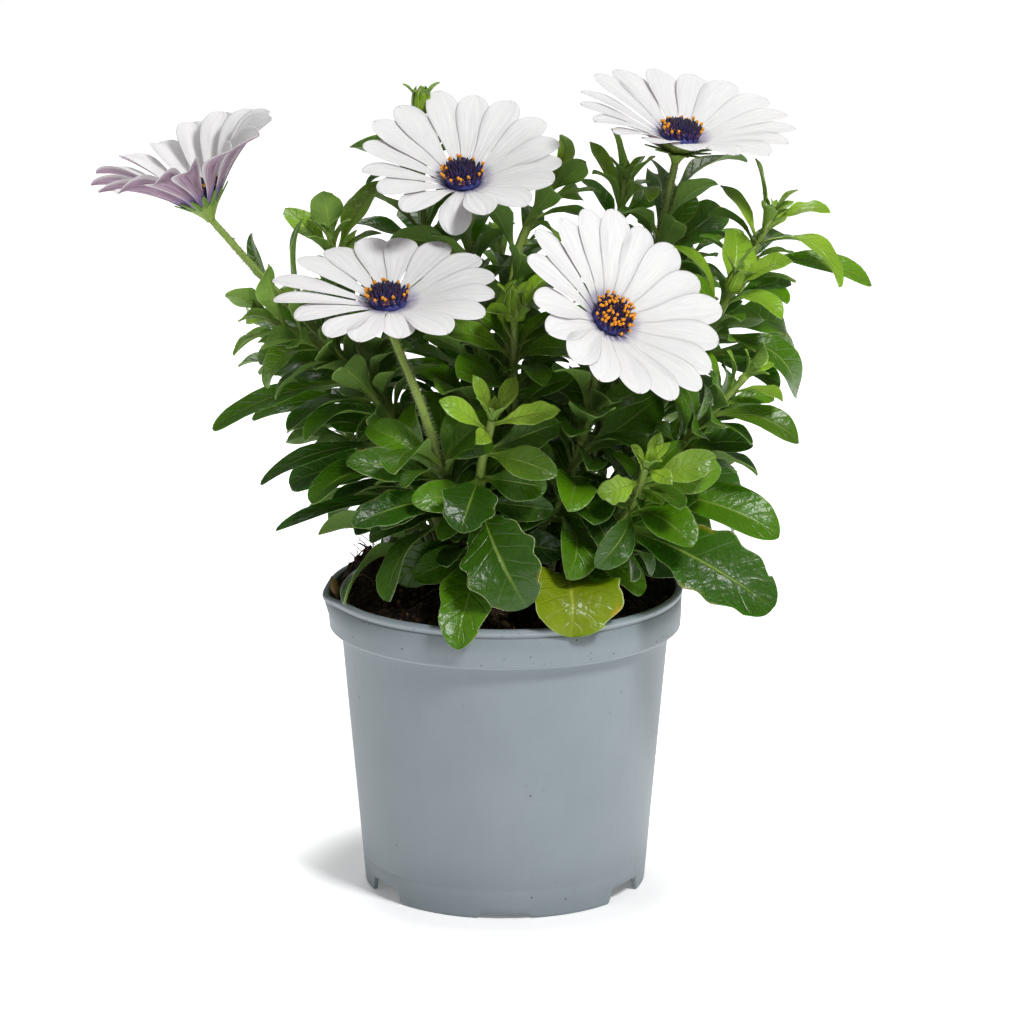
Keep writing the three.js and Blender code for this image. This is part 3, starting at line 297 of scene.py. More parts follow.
SHOOTS = (
    Shoot(
        "shoot_bloom_top", foot=(-4, 1), way=((-7, 5, 158.5), (-12, 14, 213.5)), thick=(1.76, 1.23),
        bloom="top", rule=Rule(13, 0.3, 0.84, (44, 28), (78, 50), 20),
    ),
    Shoot(
        "shoot_bloom_right", foot=(15, 3), way=((36, 6, 163.5), (50, 9, 213.5)), thick=(1.76, 1.23),
        bloom="right", rule=Rule(12, 0.3, 0.84, (44, 30), (78, 45), 80),
        keys=(Key(0.8, (51, 38, 237), 14.3, 0.08), Key(0.76, (74, 34, 225), 14.3, 0.1)),
    ),
    Shoot(
        "shoot_bloom_left", foot=(-10, -8), way=((-20, -30, 147.5), (-28, -37, 175)), thick=(1.76, 1.31),
        bloom="left", rule=Rule(7, 0.18, 0.5, (42, 30), (78, 60), 150),
        keys=(
            Key(0.36, (-49, -55, 137), 13, 0.12, teeth=2), Key(0.44, (-50, -42, 156), 11.7, 0.1),
            Key(0.3, (-39, -46, 109.5), 16.9, 0.16, roll=35), Key(0.42, (-31, -46, 147), 12, 0.2),
        ),
    ),
    Shoot(
        "shoot_bloom_front", foot=(8, -13), way=((22, -26, 147.5), (29, -34, 179)), thick=(1.76, 1.23),
        bloom="front", rule=Rule(8, 0.2, 0.68, (42, 26), (78, 55), 70),
        keys=(Key(0.42, (29, -52, 136.5), 21, 0.16),),
    ),
    Shoot(
        "shoot_bloom_goblet", foot=(-20, -1), way=((-42, -2, 166.5), (-79, -2, 207)), thick=(1.76, 1.15),
        bloom="goblet", rule=Rule(10, 0.2, 0.64, (44, 28), (78, 50), 10),
        keys=(
            Key(0.68, (-77, 8, 224), 11, 0.1), Key(0.74, (-91, 14, 222), 7.5, 0.1),
            Key(0.46, (-85, 2, 159.5), 9, 0.14),
        ),
    ),
    Shoot(
        "shoot_left", foot=(-18, -9), way=((-38, -8, 161), (-58, -8, 184)), thick=(1.93, 1.15),
        end=(-79, -8, 196), rule=Rule(11, 0.16, 0.99, (44, 16), (82, 30), 200),
        keys=(
            Key(0.16, (-54, -33, 102), 14, 0.24, roll=30), Key(0.97, (-92, -14, 205.5), 13, 0.08),
            Key(0.95, (-81, -19, 218), 15, 0.05), Key(0.93, (-90, -20, 189.5), 12, 0.1),
            Key(0.86, (-83, -10, 182), 13, 0.28), Key(0.72, (-100, -10, 164), 9.8, 0.1),
            Key(0.66, (-73, -25, 161.5), 11.7, 0.12), Key(0.5, (-82, -8, 139.5), 8.2, 0.14),
            Key(0.4, (-65, -30, 143.5), 15.6, 0.14), Key(0.34, (-76, -22, 127), 6.8, 0.1),
        ),
    ),
    Shoot(
        "shoot_left_high", foot=(-13, 6), way=((-40, 4, 165.5), (-53, 8, 193.5)), thick=(1.93, 1.23),
        end=(-58, 10, 219.5), rule=Rule(14, 0.2, 0.97, (42, 17), (80, 35), 40),
        keys=(
            Key(0.98, (-60, 8, 236), 15.6, 0.05, teeth=1), Key(0.98, (-52, 2, 227), 9, 0.08),
            Key(0.97, (-66, 0, 224), 7.5, 0.08), Key(0.93, (-40, 24, 236.5), 16.9, 0.08),
            Key(0.95, (-62, 22, 238.5), 12, 0.06),
        ),
    ),
    Shoot(
        "shoot_front", foot=(-3, -15), way=((-8, -38, 148.5),), thick=(1.76, 1.39),
        end=(-4, -46, 170), rule=Rule(6, 0.2, 0.6, (34, 26), (80, 75), 90),
        keys=(
            Key(0.58, (7, -62, 111), 27, 0.18, teeth=3), Key(0.2, (-5, -66, 98.5), 20, 0.2, teeth=2),
            Key(0.93, (-21, -50, 177.5), 9.8, 0.06), Key(0.99, (-10, -44, 184.5), 7.5, 0.05),
            Key(0.99, (3, -40, 185), 8.2, 0.05), Key(0.96, (-14, -56, 167.5), 8.2, 0.06),
            Key(0.97, (18, -51, 174.5), 10.5, 0.1, teeth=2), Key(0.86, (17, -58, 154.5), 12, 0.12),
            Key(0.74, (-14, -63, 137.5), 19.4, 0.1, teeth=2), Key(0.7, (11, -54, 146.5), 12.8, 0.1),
            Key(0.82, (18, -38, 167), 11.7, 0.1, teeth=2), Key(0.6, (-30, -50, 144), 12, 0.12),
        ),
    ),
    Shoot(
        "shoot_front_right", foot=(15, -17), way=((40, -34, 135.5),), thick=(1.68, 1.15),
        end=(46, -49, 155), rule=Rule(7, 0.16, 0.85, (40, 20), (80, 60), 250),
        keys=(
            Key(0.6, (90, -50, 113), 25.9, 0.14, teeth=3), Key(0.72, (61, -58, 131), 15.6, 0.14),
            Key(0.98, (54, -58, 151.5), 8.2, 0.08), Key(0.98, (41, -54, 163.5), 6.8, 0.05),
            Key(0.98, (50, -46, 166), 6.8, 0.05), Key(0.92, (30, -54, 147.5), 11.7, 0.12, teeth=2),
            Key(0.9, (67, -48, 161), 12, 0.1), Key(0.85, (71, -44, 153), 12, 0.1),
            Key(0.26, (80, -34, 102), 13, 0.16, roll=-20),
        ),
    ),
    Shoot(
        "shoot_right_low", foot=(20, -9), way=((48, -18, 143), (64, -26, 163.5)),
        end=(79, -30, 181), rule=Rule(9, 0.16, 0.85, (42, 22), (82, 55), 30),
        keys=(
            Key(0.97, (85, -32, 193), 10.5, 0.06), Key(0.97, (73, -36, 191), 7.5, 0.06),
            Key(0.95, (91, -38, 181), 10.5, 0.1), Key(0.85, (97, -36, 170), 12, 0.2),
            Key(0.5, (89, -38, 138.5), 19.5, 0.12),
        ),
    ),
    Shoot(
        "shoot_right", foot=(22, -1), way=((50, -8, 163), (68, -12, 193)), thick=(1.85, 1.31),
        end=(76, -16, 209.5), bud=3.2, rule=Rule(9, 0.2, 0.85, (42, 24), (80, 60), 310),
        keys=(
            Key(0.9, (62, -8, 226.5), 8.2, 0.25), Key(0.92, (80, -2, 225), 19.5, 0.08),
            Key(0.97, (94, -22, 218), 12.8, 0.1), Key(0.93, (90, -28, 200), 11.7, 0.2),
            Key(0.97, (79, -22, 223), 6, 0.1), Key(0.8, (97, -6, 169), 14.3, 0.3),
            Key(0.76, (102, 6, 181.5), 11.7, 0.24),
        ),
    ),
    Shoot(
        "shoot_right_high", foot=(24, 7), way=((60, 6, 176.5), (78, 6, 205.5)),
        end=(88, 4, 227), rule=Rule(9, 0.25, 0.92, (42, 22), (78, 50), 100),
        keys=(
            Key(0.99, (83, 2, 247.5), 9, 0.06, teeth=2), Key(0.99, (92, 4, 240), 7.5, 0.05),
            Key(0.99, (108, -2, 231), 12.8, 0.12, teeth=2), Key(0.94, (106, -16, 207.5), 15.6, 0.26),
            Key(0.86, (123, 10, 203.5), 10.5, 0.14), Key(0.93, (72, 14, 236.5), 10.5, 0.08),
        ),
    ),
    Shoot(
        "shoot_middle_high", foot=(5, 5), way=((1, 8, 168.5), (4, 9, 213.5)), thick=(2.02, 1.48),
        end=(16, 16, 238.5), rule=Rule(13, 0.32, 0.97, (40, 20), (75, 28), 330),
        keys=(Key(0.96, (29, 14, 243), 9, 0.06), Key(0.9, (18, 0, 220), 9, 0.1)),
    ),
    Shoot(
        "shoot_high", foot=(10, 12), way=((34, 16, 179), (38, 19, 218.5)), thick=(1.85, 1.31),
        end=(40, 16, 238.5), rule=Rule(12, 0.35, 0.92, (40, 22), (75, 35), 220),
        keys=(
            Key(0.98, (36, 12, 256), 12, 0.05), Key(0.98, (45, 10, 250), 9, 0.05),
            Key(0.96, (30, 20, 251.5), 9, 0.06),
        ),
    ),
    Shoot(
        "shoot_bud", foot=(4, -5), way=((4, -12, 148), (3, -14, 178)), thick=(1.85, 1.31),
        end=(3, -14, 200.5), bud=4.2, rule=Rule(13, 0.24, 0.96, (40, 19), (78, 30), 60),
        keys=(
            Key(0.72, (-9, -34, 187), 21.6, 0.12), Key(0.82, (23, -32, 190), 11.7, 0.1),
            Key(0.86, (-20, -26, 195.5), 12, 0.1),
        ),
    ),
    Shoot(
        "shoot_back_bud", foot=(-9, 14), way=((-20, 24, 169.5), (-28, 32, 230)),
        end=(-28, 33, 261), bud=3.4, rule=Rule(13, 0.24, 0.86, (42, 22), (78, 40), 130),
    ),
    Shoot(
        "shoot_back_right", foot=(18, 14), way=((44, 32, 164.5), (56, 40, 194.5)),
        end=(64, 42, 214.5), rule=Rule(13, 0.18, 0.98, (42, 17), (82, 30), 15),
    ),
    Shoot(
        "shoot_back_left", foot=(-18, 17), way=((-40, 38, 155), (-50, 48, 180)),
        end=(-54, 50, 198), rule=Rule(14, 0.16, 0.98, (44, 17), (82, 30), 75),
    ),
    Shoot(
        "shoot_back", foot=(0, 17), way=((2, 42, 160), (0, 54, 188)),
        end=(-2, 58, 208), rule=Rule(12, 0.16, 0.98, (44, 17), (82, 30), 180),
    ),
    Shoot(
        "shoot_back_low", foot=(9, 22), way=((30, 50, 140.5), (38, 60, 158.5)), thick=(1.68, 1.15),
        end=(42, 64, 175.5), rule=Rule(12, 0.14, 0.98, (44, 17), (82, 30), 260),
    ),
    Shoot(
        "shoot_left_back", foot=(-24, 9), way=((-52, 24, 147.5), (-66, 32, 167.5)), thick=(1.68, 1.15),
        end=(-74, 36, 183.5), rule=Rule(12, 0.14, 0.98, (44, 17), (82, 30), 350),
    ),
)


@dataclass(frozen=True)
class OldLeaf:
    """A fallen yellow leaf that still stands in the soil on its own stalk."""

    foot: tuple = (18, -29)
    height: float = 8
    tip: tuple = (22, -58.5, 100.5)
    width: float = 35
    arch: float = 0.26
    teeth: int = 2
    stalk: float = 1.4


OLD_LEAF = OldLeaf()


def soil_height(x: np.ndarray, y: np.ndarray) -> np.ndarray:
    """Height of the peat: its edge level, a dome, two heaps and small clods."""
    share = np.hypot(x, y) / POT.neck_radius
    heap = lambda cx, cy, size, rise: rise * np.exp(-((x - cx) ** 2 + (y - cy) ** 2) / size**2)
    clods = 0.7 * np.sin(0.41 * x + 1.1) * np.cos(0.37 * y) + 0.5 * np.sin(0.83 * y - 0.6 * x)
    inner = np.maximum(0, 1 - share)
    dome = SOIL.dome * np.maximum(0, 1 - share**2)
    return SOIL.edge + dome + heap(-45, 16, 13, 5) + heap(40, 26, 15, 4) + clods * np.minimum(1, 4 * inner)


# -------------------- the plan of the plant
class Route:
    """A smooth curve through points (centripetal Catmull-Rom), measured by its arc length."""

    STEPS = 200

    def __init__(self, points: list) -> None:
        """Keeps the points, with one more beyond each end, and measures the curve."""
        p = np.array(points, float)
        self.points = np.vstack([2 * p[0] - p[1], p, 2 * p[-1] - p[-2]])
        marks = self.point(np.arange(self.STEPS + 1) / self.STEPS)
        self.lengths = np.concatenate([[0], np.cumsum(np.linalg.norm(np.diff(marks, axis=0), axis=1))])

    @property
    def length(self) -> float:
        """The curve's arc length."""
        return float(self.lengths[-1])

    def point(self, t: np.ndarray) -> np.ndarray:
        """Points at raw parameters from 0 to 1: a cubic on each span, with tangents by knot spacing."""
        t = np.atleast_1d(np.asarray(t, float))
        spans = len(self.points) - 3
        i = np.minimum(np.floor(t * spans).astype(int), spans - 1)
        w = (t * spans - i)[:, None]
        p0, p1, p2, p3 = (self.points[i + n] for n in range(4))
        knot = lambda a, b: (np.sum((a - b) ** 2, axis=1) ** 0.25)[:, None]
        d0, d1, d2 = knot(p0, p1), knot(p1, p2), knot(p2, p3)
        t1 = ((p1 - p0) / d0 - (p2 - p0) / (d0 + d1) + (p2 - p1) / d1) * d1
        t2 = ((p2 - p1) / d1 - (p3 - p1) / (d1 + d2) + (p3 - p2) / d2) * d1
        c2, c3 = -3 * p1 + 3 * p2 - 2 * t1 - t2, 2 * p1 - 2 * p2 + t1 + t2
        return p1 + t1 * w + c2 * w**2 + c3 * w**3

    def parameter(self, share: np.ndarray) -> np.ndarray:
        """Raw parameters at shares of the arc length."""
        marks = np.arange(self.STEPS + 1) / self.STEPS
        return np.interp(np.atleast_1d(share) * self.length, self.lengths, marks)

    def at(self, share: Numbers) -> np.ndarray:
        """Points at shares of the arc length."""
        return self.point(self.parameter(share))

    def along(self, share: Numbers) -> np.ndarray:
        """Unit tangents at shares of the arc length."""
        t = self.parameter(share)
        return unit(self.point(np.minimum(t + 1e-4, 1)) - self.point(np.maximum(t - 1e-4, 0)))


class Room:
    """A grid of cells that remembers which shoot or bloom has been near each of them."""

    CELL = 1.5
    LOW = np.array([-165, -120, 60])
    SIZE = (206, 160, 170)
    SPACING = 1.1
    SHARED = -1

    def __init__(self) -> None:
        """Starts with every cell free."""
        self.held = np.zeros(int(np.prod(self.SIZE)), np.int16)
        nearby = np.array(list(np.ndindex(3, 3, 3))) - 1
        self.nearby = (nearby[:, 0] * self.SIZE[1] + nearby[:, 1]) * self.SIZE[2] + nearby[:, 2]

    def cells(self, points: np.ndarray) -> np.ndarray:
        """The cells that hold the points."""
        i, j, k = np.floor((points - self.LOW) / self.CELL).astype(int).T
        return (i * self.SIZE[1] + j) * self.SIZE[2] + k

    def claim(self, points: np.ndarray, owner: int) -> None:
        """Marks the cells of the points, and those beside them, as held by an owner."""
        cells = np.unique(self.cells(points)[:, None] + self.nearby)
        held = self.held[cells]
        self.held[cells] = np.where((held == 0) | (held == owner), owner, self.SHARED)

    def is_clear(self, points: np.ndarray, owner: int, root: np.ndarray, lapped: float = 0.0) -> bool:
        """True where at most a share of the points meets another piece, or its own shoot away from the root.

        No point may meet the pot or the soil.
        """
        held = self.held[self.cells(points)]
        away = np.linalg.norm(points - root, axis=1) > LEAF.free_root
        met = ~((held == 0) | ((held == owner) & ~away))
        return bool(met.mean() <= lapped and not np.any(away & in_pot(points)))


def in_pot(p: np.ndarray) -> np.ndarray:
    """True where a point would lie in the pot's rim or in the soil."""
    r = np.hypot(p[:, 0], p[:, 1])
    rim = (r > POT.rim_radius - 4) & (p[:, 2] < POT.height + 1.3)
    peat = (r <= POT.rim_radius - 4) & (p[:, 2] < soil_height(p[:, 0], p[:, 1]) + 1.2)
    return (r <= POT.rim_radius + 1.6) & (rim | peat)


@dataclass
class Leaf:
    """A leaf's place and form, which the plan's coarse rows and the finished blade share."""

    root: np.ndarray
    stem: np.ndarray
    tip: np.ndarray
    width: float
    arch: float
    roll: float = 0.0
    teeth: int = 0
    young: float = 0.0

    BIG = np.array([0, 0.18, 0.45, 0.8, 1])
    SMALL = np.array([0, 0.34, 0.72, 1])

    def moved(self, size: float, turn: float, lift: float) -> "Leaf":
        """The same leaf, shortened to a share of its size, lifted and turned round the stem."""
        chord = (self.tip - self.root) * size
        level = unit(np.cross(chord, self.stem))
        chord = turn_about(turn_about(chord, level, lift), self.stem, turn)
        return replace(self, tip=self.root + chord, width=self.width * size)

    def stations(self) -> np.ndarray:
        """The shares of the length where the coarse blade has its rows."""
        if self.teeth:
            inner = mix(LEAF.tooth_from, LEAF.tooth_to, np.arange(2 * self.teeth + 1) / (2 * self.teeth))
            return np.concatenate([[0, 0.17], inner, [1]])
        return self.BIG if self.width > 17 else self.SMALL

    def spoon(self, s: np.ndarray, fine: bool) -> np.ndarray:
        """Half width as a share of the widest: a narrow stalk that widens past the middle and closes.

        The closing end is (1 - x^2)^p, with p one half, an ellipse, on the coarse blade, which ends blunt.
        The fine blade closes fully, and is more pointed in youth.
        """
        widen = LEAF.neck + (1 - LEAF.neck) * ease(s, 0.1, 0.62)
        long = 0.381 if fine else 0.385
        power = mix(0.5, 0.85, self.young) if fine else 0.5
        close = np.clip(1 - (np.maximum(s - 0.62, 0) / long) ** 2, 0, 1) ** power
        return widen * np.maximum(close, 0.03 if fine else LEAF.tip)

    def toothed(self, s: np.ndarray, side: np.ndarray, fine: bool = False) -> np.ndarray:
        """Lobes: a wave along the edge, half a beat later on the right, and with flat flanks if not fine."""
        if not self.teeth:
            return np.ones(np.broadcast(s, side).shape)
        beat = (s - LEAF.tooth_from) / (LEAF.tooth_to - LEAF.tooth_from) * self.teeth
        beat = beat + np.where(side > 0, 0.5, 0)
        flat = 1.04 - 0.24 * np.abs(2 * (beat - np.floor(beat)) - 1)
        wave = 0.95 - 0.08 * np.cos(2 * np.pi * beat) if fine else flat
        return np.where((s <= LEAF.tooth_from) | (s >= LEAF.tooth_to), 1.0, wave)

    def frames(self, s: np.ndarray) -> tuple:
        """Midrib points, directions along it, faces and the side vector, at shares of the length.

        The midrib is a parabola that bulges by arch times the length to the upper face.
        """
        chord = self.tip - self.root
        length = np.linalg.norm(chord)
        along = chord / length
        steep = abs(along @ self.stem)
        up = self.stem + np.array([-along[0], -along[1], 0]) * LEAF.inward
        outward = unit(np.array([self.root[0] + self.tip[0], self.root[1] + self.tip[1], 0]))
        up = up + outward * LEAF.outward * (1 - steep)
        up = turn_about(unit(up - along * (up @ along)), along, self.roll)
        side = np.cross(along, up)
        s = s[:, None]
        middle = self.root + along * s * length + up * self.arch * length * 4 * s * (1 - s)
        forward = unit(along + up * self.arch * 4 * (1 - 2 * s))
        return middle, forward, np.cross(side, forward), side

    def coarse_rows(self) -> np.ndarray:
        """The coarse blade's rows of three points: left edge, midrib and right edge."""
        s = self.stations()
        middle, _, face, side = self.frames(s)
        fold = np.radians(LEAF.fold)
        lines = []
        for sign in (-1, 1):
            reach = (self.width / 2 * self.spoon(s, False) * self.toothed(s, np.full(len(s), sign)))[:, None]
            lines.append(middle + side * sign * reach * np.cos(fold) + face * reach * np.sin(fold))
        return np.stack([lines[0], middle, lines[1]], axis=1)


def blade_points(rows: np.ndarray) -> np.ndarray:
    """Points spread evenly over the strips between rows of three points each."""
    found = []
    for row, after in zip(rows, rows[1:]):
        for j in (0, 1):
            a, b, c, d = row[j], row[j + 1], after[j], after[j + 1]
            long = math.ceil(np.linalg.norm(c - a) / Room.SPACING)
            wide = math.ceil(max(np.linalg.norm(b - a), np.linalg.norm(d - c)) / Room.SPACING)
            u = (np.arange(long + 1) / long)[:, None, None]
            v = (np.arange(wide + 1) / wide)[None, :, None]
            left, right = a + (c - a) * u, b + (d - b) * u
            found.append((left + (right - left) * v).reshape(-1, 3))
    return np.concatenate(found)


# turns round the stem and lifts, in degrees: none, and then eight ways at growing angles
BENDS = ((0.0, 0.0), *(
    (reach * math.cos(i * math.pi / 4), reach * math.sin(i * math.pi / 4))
    for reach in (6, 12, 19, 27, 36, 48) for i in range(8)
))
SHRINKS = (1, 0.86, 0.72, 0.58, 0.46)


@dataclass(frozen=True)
class Tries:
    """How a leaf may be shortened and bent, and what share of it may come near another piece."""

    sizes: tuple = SHRINKS
    bends: tuple = BENDS
    lapped: float = 0.0


class Stem:
    """A shoot's stem: its curve, and the facets from which leaves can grow."""

    def __init__(self, shoot: Shoot, number: int) -> None:
        """Lays the curve and its facets. The number seeds the leaves."""
        self.shoot = shoot
        self.number = number
        self.bloom = next((b for b in BLOOMS if b.name == shoot.bloom), None)
        x, y = shoot.foot
        self.ground = float(soil_height(np.float64(x), np.float64(y)))
        end = self.bloom.middle - self.bloom.axis * RAY.cup if self.bloom else shoot.end
        first = shoot.way[0]
        self.curve = Route([
            (x, y, self.ground - SOIL.hole_depth + GAP), (x, y, self.ground),
            (mix(x, first[0], 0.06), mix(y, first[1], 0.06), self.ground + 9), *shoot.way, tuple(end),
        ])
        self._lay_facets()

    def radius(self, share: Numbers) -> Numbers:
        """The stem's radius at a share of its length."""
        return mix(self.shoot.thick[0], self.shoot.thick[1], share)

    def _lay_facets(self) -> None:
        """Works out each facet's middle, outward direction, share and axis."""
        sunk = (SOIL.hole_depth + 1) / self.curve.length
        steps = np.arange(STEM_RINGS) / (STEM_RINGS - 1)
        shares = np.concatenate([[0], mix(sunk, 1, 1 - (1 - steps) ** STEM_CROWD)])
        centres, axes = self.curve.at(shares), self.curve.along(shares)
        rings = []
        for centre, axis, share in zip(centres, axes, shares):
            zero = square_to(axis)
            out = np.array([turn_about(zero, axis, 360 * k / STEM_SIDES) for k in range(STEM_SIDES)])
            rings.append(centre + out * self.radius(share))
        rings = np.array(rings)
        after = np.roll(rings, -1, axis=1)
        self.middles = ((rings[:-1] + after[:-1] + rings[1:] + after[1:]) / 4).reshape(-1, 3)
        self.shares = np.repeat((shares[:-1] + shares[1:]) / 2, STEM_SIDES)
        self.normals = unit(self.middles - self.curve.at(self.shares))
        self.axes = self.curve.along(self.shares)
        self.taken = np.zeros(len(self.shares), bool)

    def pick(self, share: float, direction: np.ndarray) -> int:
        """The free facet that lies nearest to a share of the stem and looks most along a direction."""
        score = 9 * self.normals @ direction - np.abs(self.shares - share) * self.curve.length
        best = int(np.argmax(np.where(self.taken, -np.inf, score)))
        self.taken[best] = True
        return best

    def points(self) -> np.ndarray:
        """Points all over the stem, for the room grid."""
        steps = math.ceil(self.curve.length / Room.SPACING)
        shares = np.arange(steps + 1) / steps
        offsets = np.vstack([np.zeros(3), np.eye(3), -np.eye(3)])
        return (self.curve.at(shares)[:, None] + offsets * self.radius(shares)[:, None, None]).reshape(-1, 3)

    def key_leaves(self) -> list:
        """The leaves with a place of their own."""
        leaves = []
        for key in self.shoot.keys:
            tip = np.array(key.tip, float)
            direction = unit(tip - self.curve.at(key.share)[0])
            facet = self.pick(key.share, direction)
            roll = LEAF.to_front * direction[0] if key.roll is None else key.roll
            young = float(ease(key.share, 0.8, 1.0))
            root, axis = self.middles[facet], self.axes[facet]
            leaves.append(Leaf(root, axis, tip, key.width, key.arch, roll, key.teeth, young))
        return leaves

    def rule_leaves(self) -> list:
        """Leaves a golden angle apart round the stem, shorter and steeper towards its end."""
        rule, draw, leaves = self.shoot.rule, Dice(self.number), []
        for i in range(rule.count):
            rank = i / (rule.count - 1) if rule.count > 1 else 0
            share = mix(rule.start, rule.stop, rank)
            axis = self.curve.along(share)[0]
            out = turn_about(square_to(axis), axis, rule.turn + i * GOLDEN)
            away = unit(self.curve.at(share)[0] * np.array([1, 1, 0]))
            if out @ away < 0:
                out = unit(out - away * 2 * LEAF.light * (out @ away))
            facet = self.pick(share, out)
            root, axis = self.middles[facet], self.axes[facet]
            reach = mix(*rule.length, rank) * mix(0.88, 1.14, draw())
            opening = mix(*rule.opening, rank) + mix(-20, 14, draw())
            tip = root + between(axis, self.normals[facet], opening) * reach
            width = reach * mix(0.4, 0.52, draw())
            arch, roll = mix(0.1, 0.24, draw()), mix(-42, 42, draw())
            leaves.append(Leaf(root, axis, tip, width, arch, roll, young=float(ease(share, 0.78, 1.0))))
        return leaves

    def small_leaves(self) -> list:
        """Smaller leaves that fill the room between the others, a golden angle apart round the stem."""
        seed = 50 + self.number
        draw, leaves = Dice(seed), []
        stop = min(self.shoot.rule.stop + 0.05, 0.97)
        for i in range(SMALL_LEAVES):
            share = mix(0.16, stop, (i + draw()) / SMALL_LEAVES)
            axis = self.curve.along(share)[0]
            out = turn_about(square_to(axis), axis, seed * 50 + i * GOLDEN)
            root = self.curve.at(share)[0] + out * self.radius(share) * 0.7
            reach = mix(34, 19, share) * mix(0.85, 1.15, draw())
            tip = root + between(axis, out, mix(88, 40, share) + mix(-12, 12, draw())) * reach
            width, arch, roll = reach * mix(0.38, 0.5, draw()), mix(0.08, 0.2, draw()), mix(-30, 30, draw())
            leaves.append(Leaf(root, axis, tip, width, arch, roll, young=float(ease(share, 0.85, 1.0))))
        return leaves


@dataclass
class RayForm:
    """A ray's or bract's place round the head, and how it rises and bends along its length."""

    azimuth: float
    start: float
    lower: float
    reach: float
    width: float
    rise: float
    bend: float
    roll: float

    ROWS = np.array([0, 0.48, 0.84, 1])

    def frames(self, bloom: Bloom, s: np.ndarray) -> tuple:
        """Middle points, directions along the ray, faces and directions across, at shares of its length.

        The ray leaves the head's edge at an angle of rise above its plane, which grows by bend.
        """
        axis = bloom.axis
        out = turn_about(square_to(axis), axis, self.azimuth)
        side = np.cross(out, axis)
        length = self.reach - self.start
        angle = np.radians(self.rise + self.bend * s)[:, None]
        slope = angle + np.radians(self.bend * s)[:, None]
        base = bloom.middle + out * self.start + axis * self.lower
        middle = base + out * length * s[:, None] * np.cos(angle) + axis * length * s[:, None] * np.sin(angle)
        forward = out * np.cos(slope) + axis * np.sin(slope)
        face = np.cross(side, forward)
        roll = math.radians(self.roll)
        face = face * math.cos(roll) + np.cross(forward, face) * math.sin(roll)
        return middle, forward, face, np.cross(forward, face)

    def petal(self, s: np.ndarray, fine: bool) -> np.ndarray:
        """Half width as a share of the widest: it widens past the middle and closes as an ellipse."""
        widen = 0.3 + 0.7 * ease(s, 0, 0.74) if fine else 0.34 + 0.66 * ease(s, 0, 0.6)
        close = np.sqrt(np.clip(1 - (np.maximum(s - 0.7, 0) / (0.301 if fine else 0.315)) ** 2, 0, 1))
        return widen * np.maximum(close, 0.06 if fine else 0.3)

    def coarse_points(self, bloom: Bloom) -> np.ndarray:
        """Points all over the coarse ray, for the room grid."""
        middle, _, face, across = self.frames(bloom, self.ROWS)
        reach = (self.width / 2 * self.petal(self.ROWS, False))[:, None]
        left = middle - across * reach + face * RAY.cupped * reach
        right = middle + across * reach + face * RAY.cupped * reach
        return blade_points(np.stack([left, middle, right], axis=1))


def rays_of(bloom: Bloom, seed: int) -> list:
    """The rays of a bloom, each rolled a little so that one edge laps over its neighbour."""
    draw, rays = Dice(seed), []
    for i in range(bloom.rays):
        azimuth = bloom.turn + 360 * (i + 0.5 + mix(-0.1, 0.1, draw())) / bloom.rays
        reach, width = bloom.reach * mix(0.95, 1.04, draw()), mix(10.2, 12, draw())
        rise, bend = bloom.rise + mix(-0.8, 0.8, draw()), bloom.bend + mix(-1.5, 1.5, draw())
        rays.append(RayForm(azimuth, RAY.hub - 0.4, 0, reach, width, rise, bend, RAY.roll))
    return rays


class Plan:
    """Where every stem, leaf and ray of the plant lies, each bent clear of the others."""

    def __init__(self) -> None:
        """Claims room for stems, rays and the old leaf, and then bends each leaf clear."""
        self.room = Room()
        self.stems = [Stem(shoot, number) for number, shoot in enumerate(SHOOTS, 1)]
        for stem in self.stems:
            self.room.claim(stem.points(), stem.number)
        self.rays = {bloom.name: rays_of(bloom, 100 + i) for i, bloom in enumerate(BLOOMS)}
        for owner, bloom in enumerate(BLOOMS, len(SHOOTS) + 1):
            for ray in self.rays[bloom.name]:
                self.room.claim(ray.coarse_points(bloom), owner)
        self.old_leaf = self._old_leaf()
        self.room.claim(blade_points(self.old_leaf.coarse_rows()), len(SHOOTS) + len(BLOOMS) + 1)
        self.leaves = [[] for _ in SHOOTS]
        for grown, tries in (
            (Stem.key_leaves, Tries()), (Stem.rule_leaves, Tries()),
            (Stem.small_leaves, Tries(SHRINKS[::2], BENDS[::3], SMALL_LAPPED)),
        ):
            for stem in self.stems:
                placed = [self._clear(leaf, stem.number, tries) for leaf in grown(stem)]
                self.leaves[stem.number - 1] += [leaf for leaf in placed if leaf]

    def _old_leaf(self) -> Leaf:
        """The yellow leaf that hangs over the soil on its own stalk."""
        x, y = OLD_LEAF.foot
        self.old_ground = float(soil_height(np.float64(x), np.float64(y)))
        root = np.array([x, y, self.old_ground + OLD_LEAF.height])
        return Leaf(root, UP, np.array(OLD_LEAF.tip, float), OLD_LEAF.width, OLD_LEAF.arch, 0, OLD_LEAF.teeth)

    def _clear(self, leaf: Leaf, owner: int, tries: Tries) -> Leaf | None:
        """The first of the leaf's bent and then shortened forms that is clear, or None if nothing helps."""
        for size in tries.sizes:
            for turn, lift in tries.bends:
                tried = leaf.moved(size, turn, lift)
                rows = tried.coarse_rows()
                if not self.room.is_clear(rows.reshape(-1, 3), owner, tried.root, tries.lapped * 2):
                    continue
                points = blade_points(rows)
                if self.room.is_clear(points, owner, tried.root, tries.lapped):
                    self.room.claim(points, owner)
                    return tried
        return None


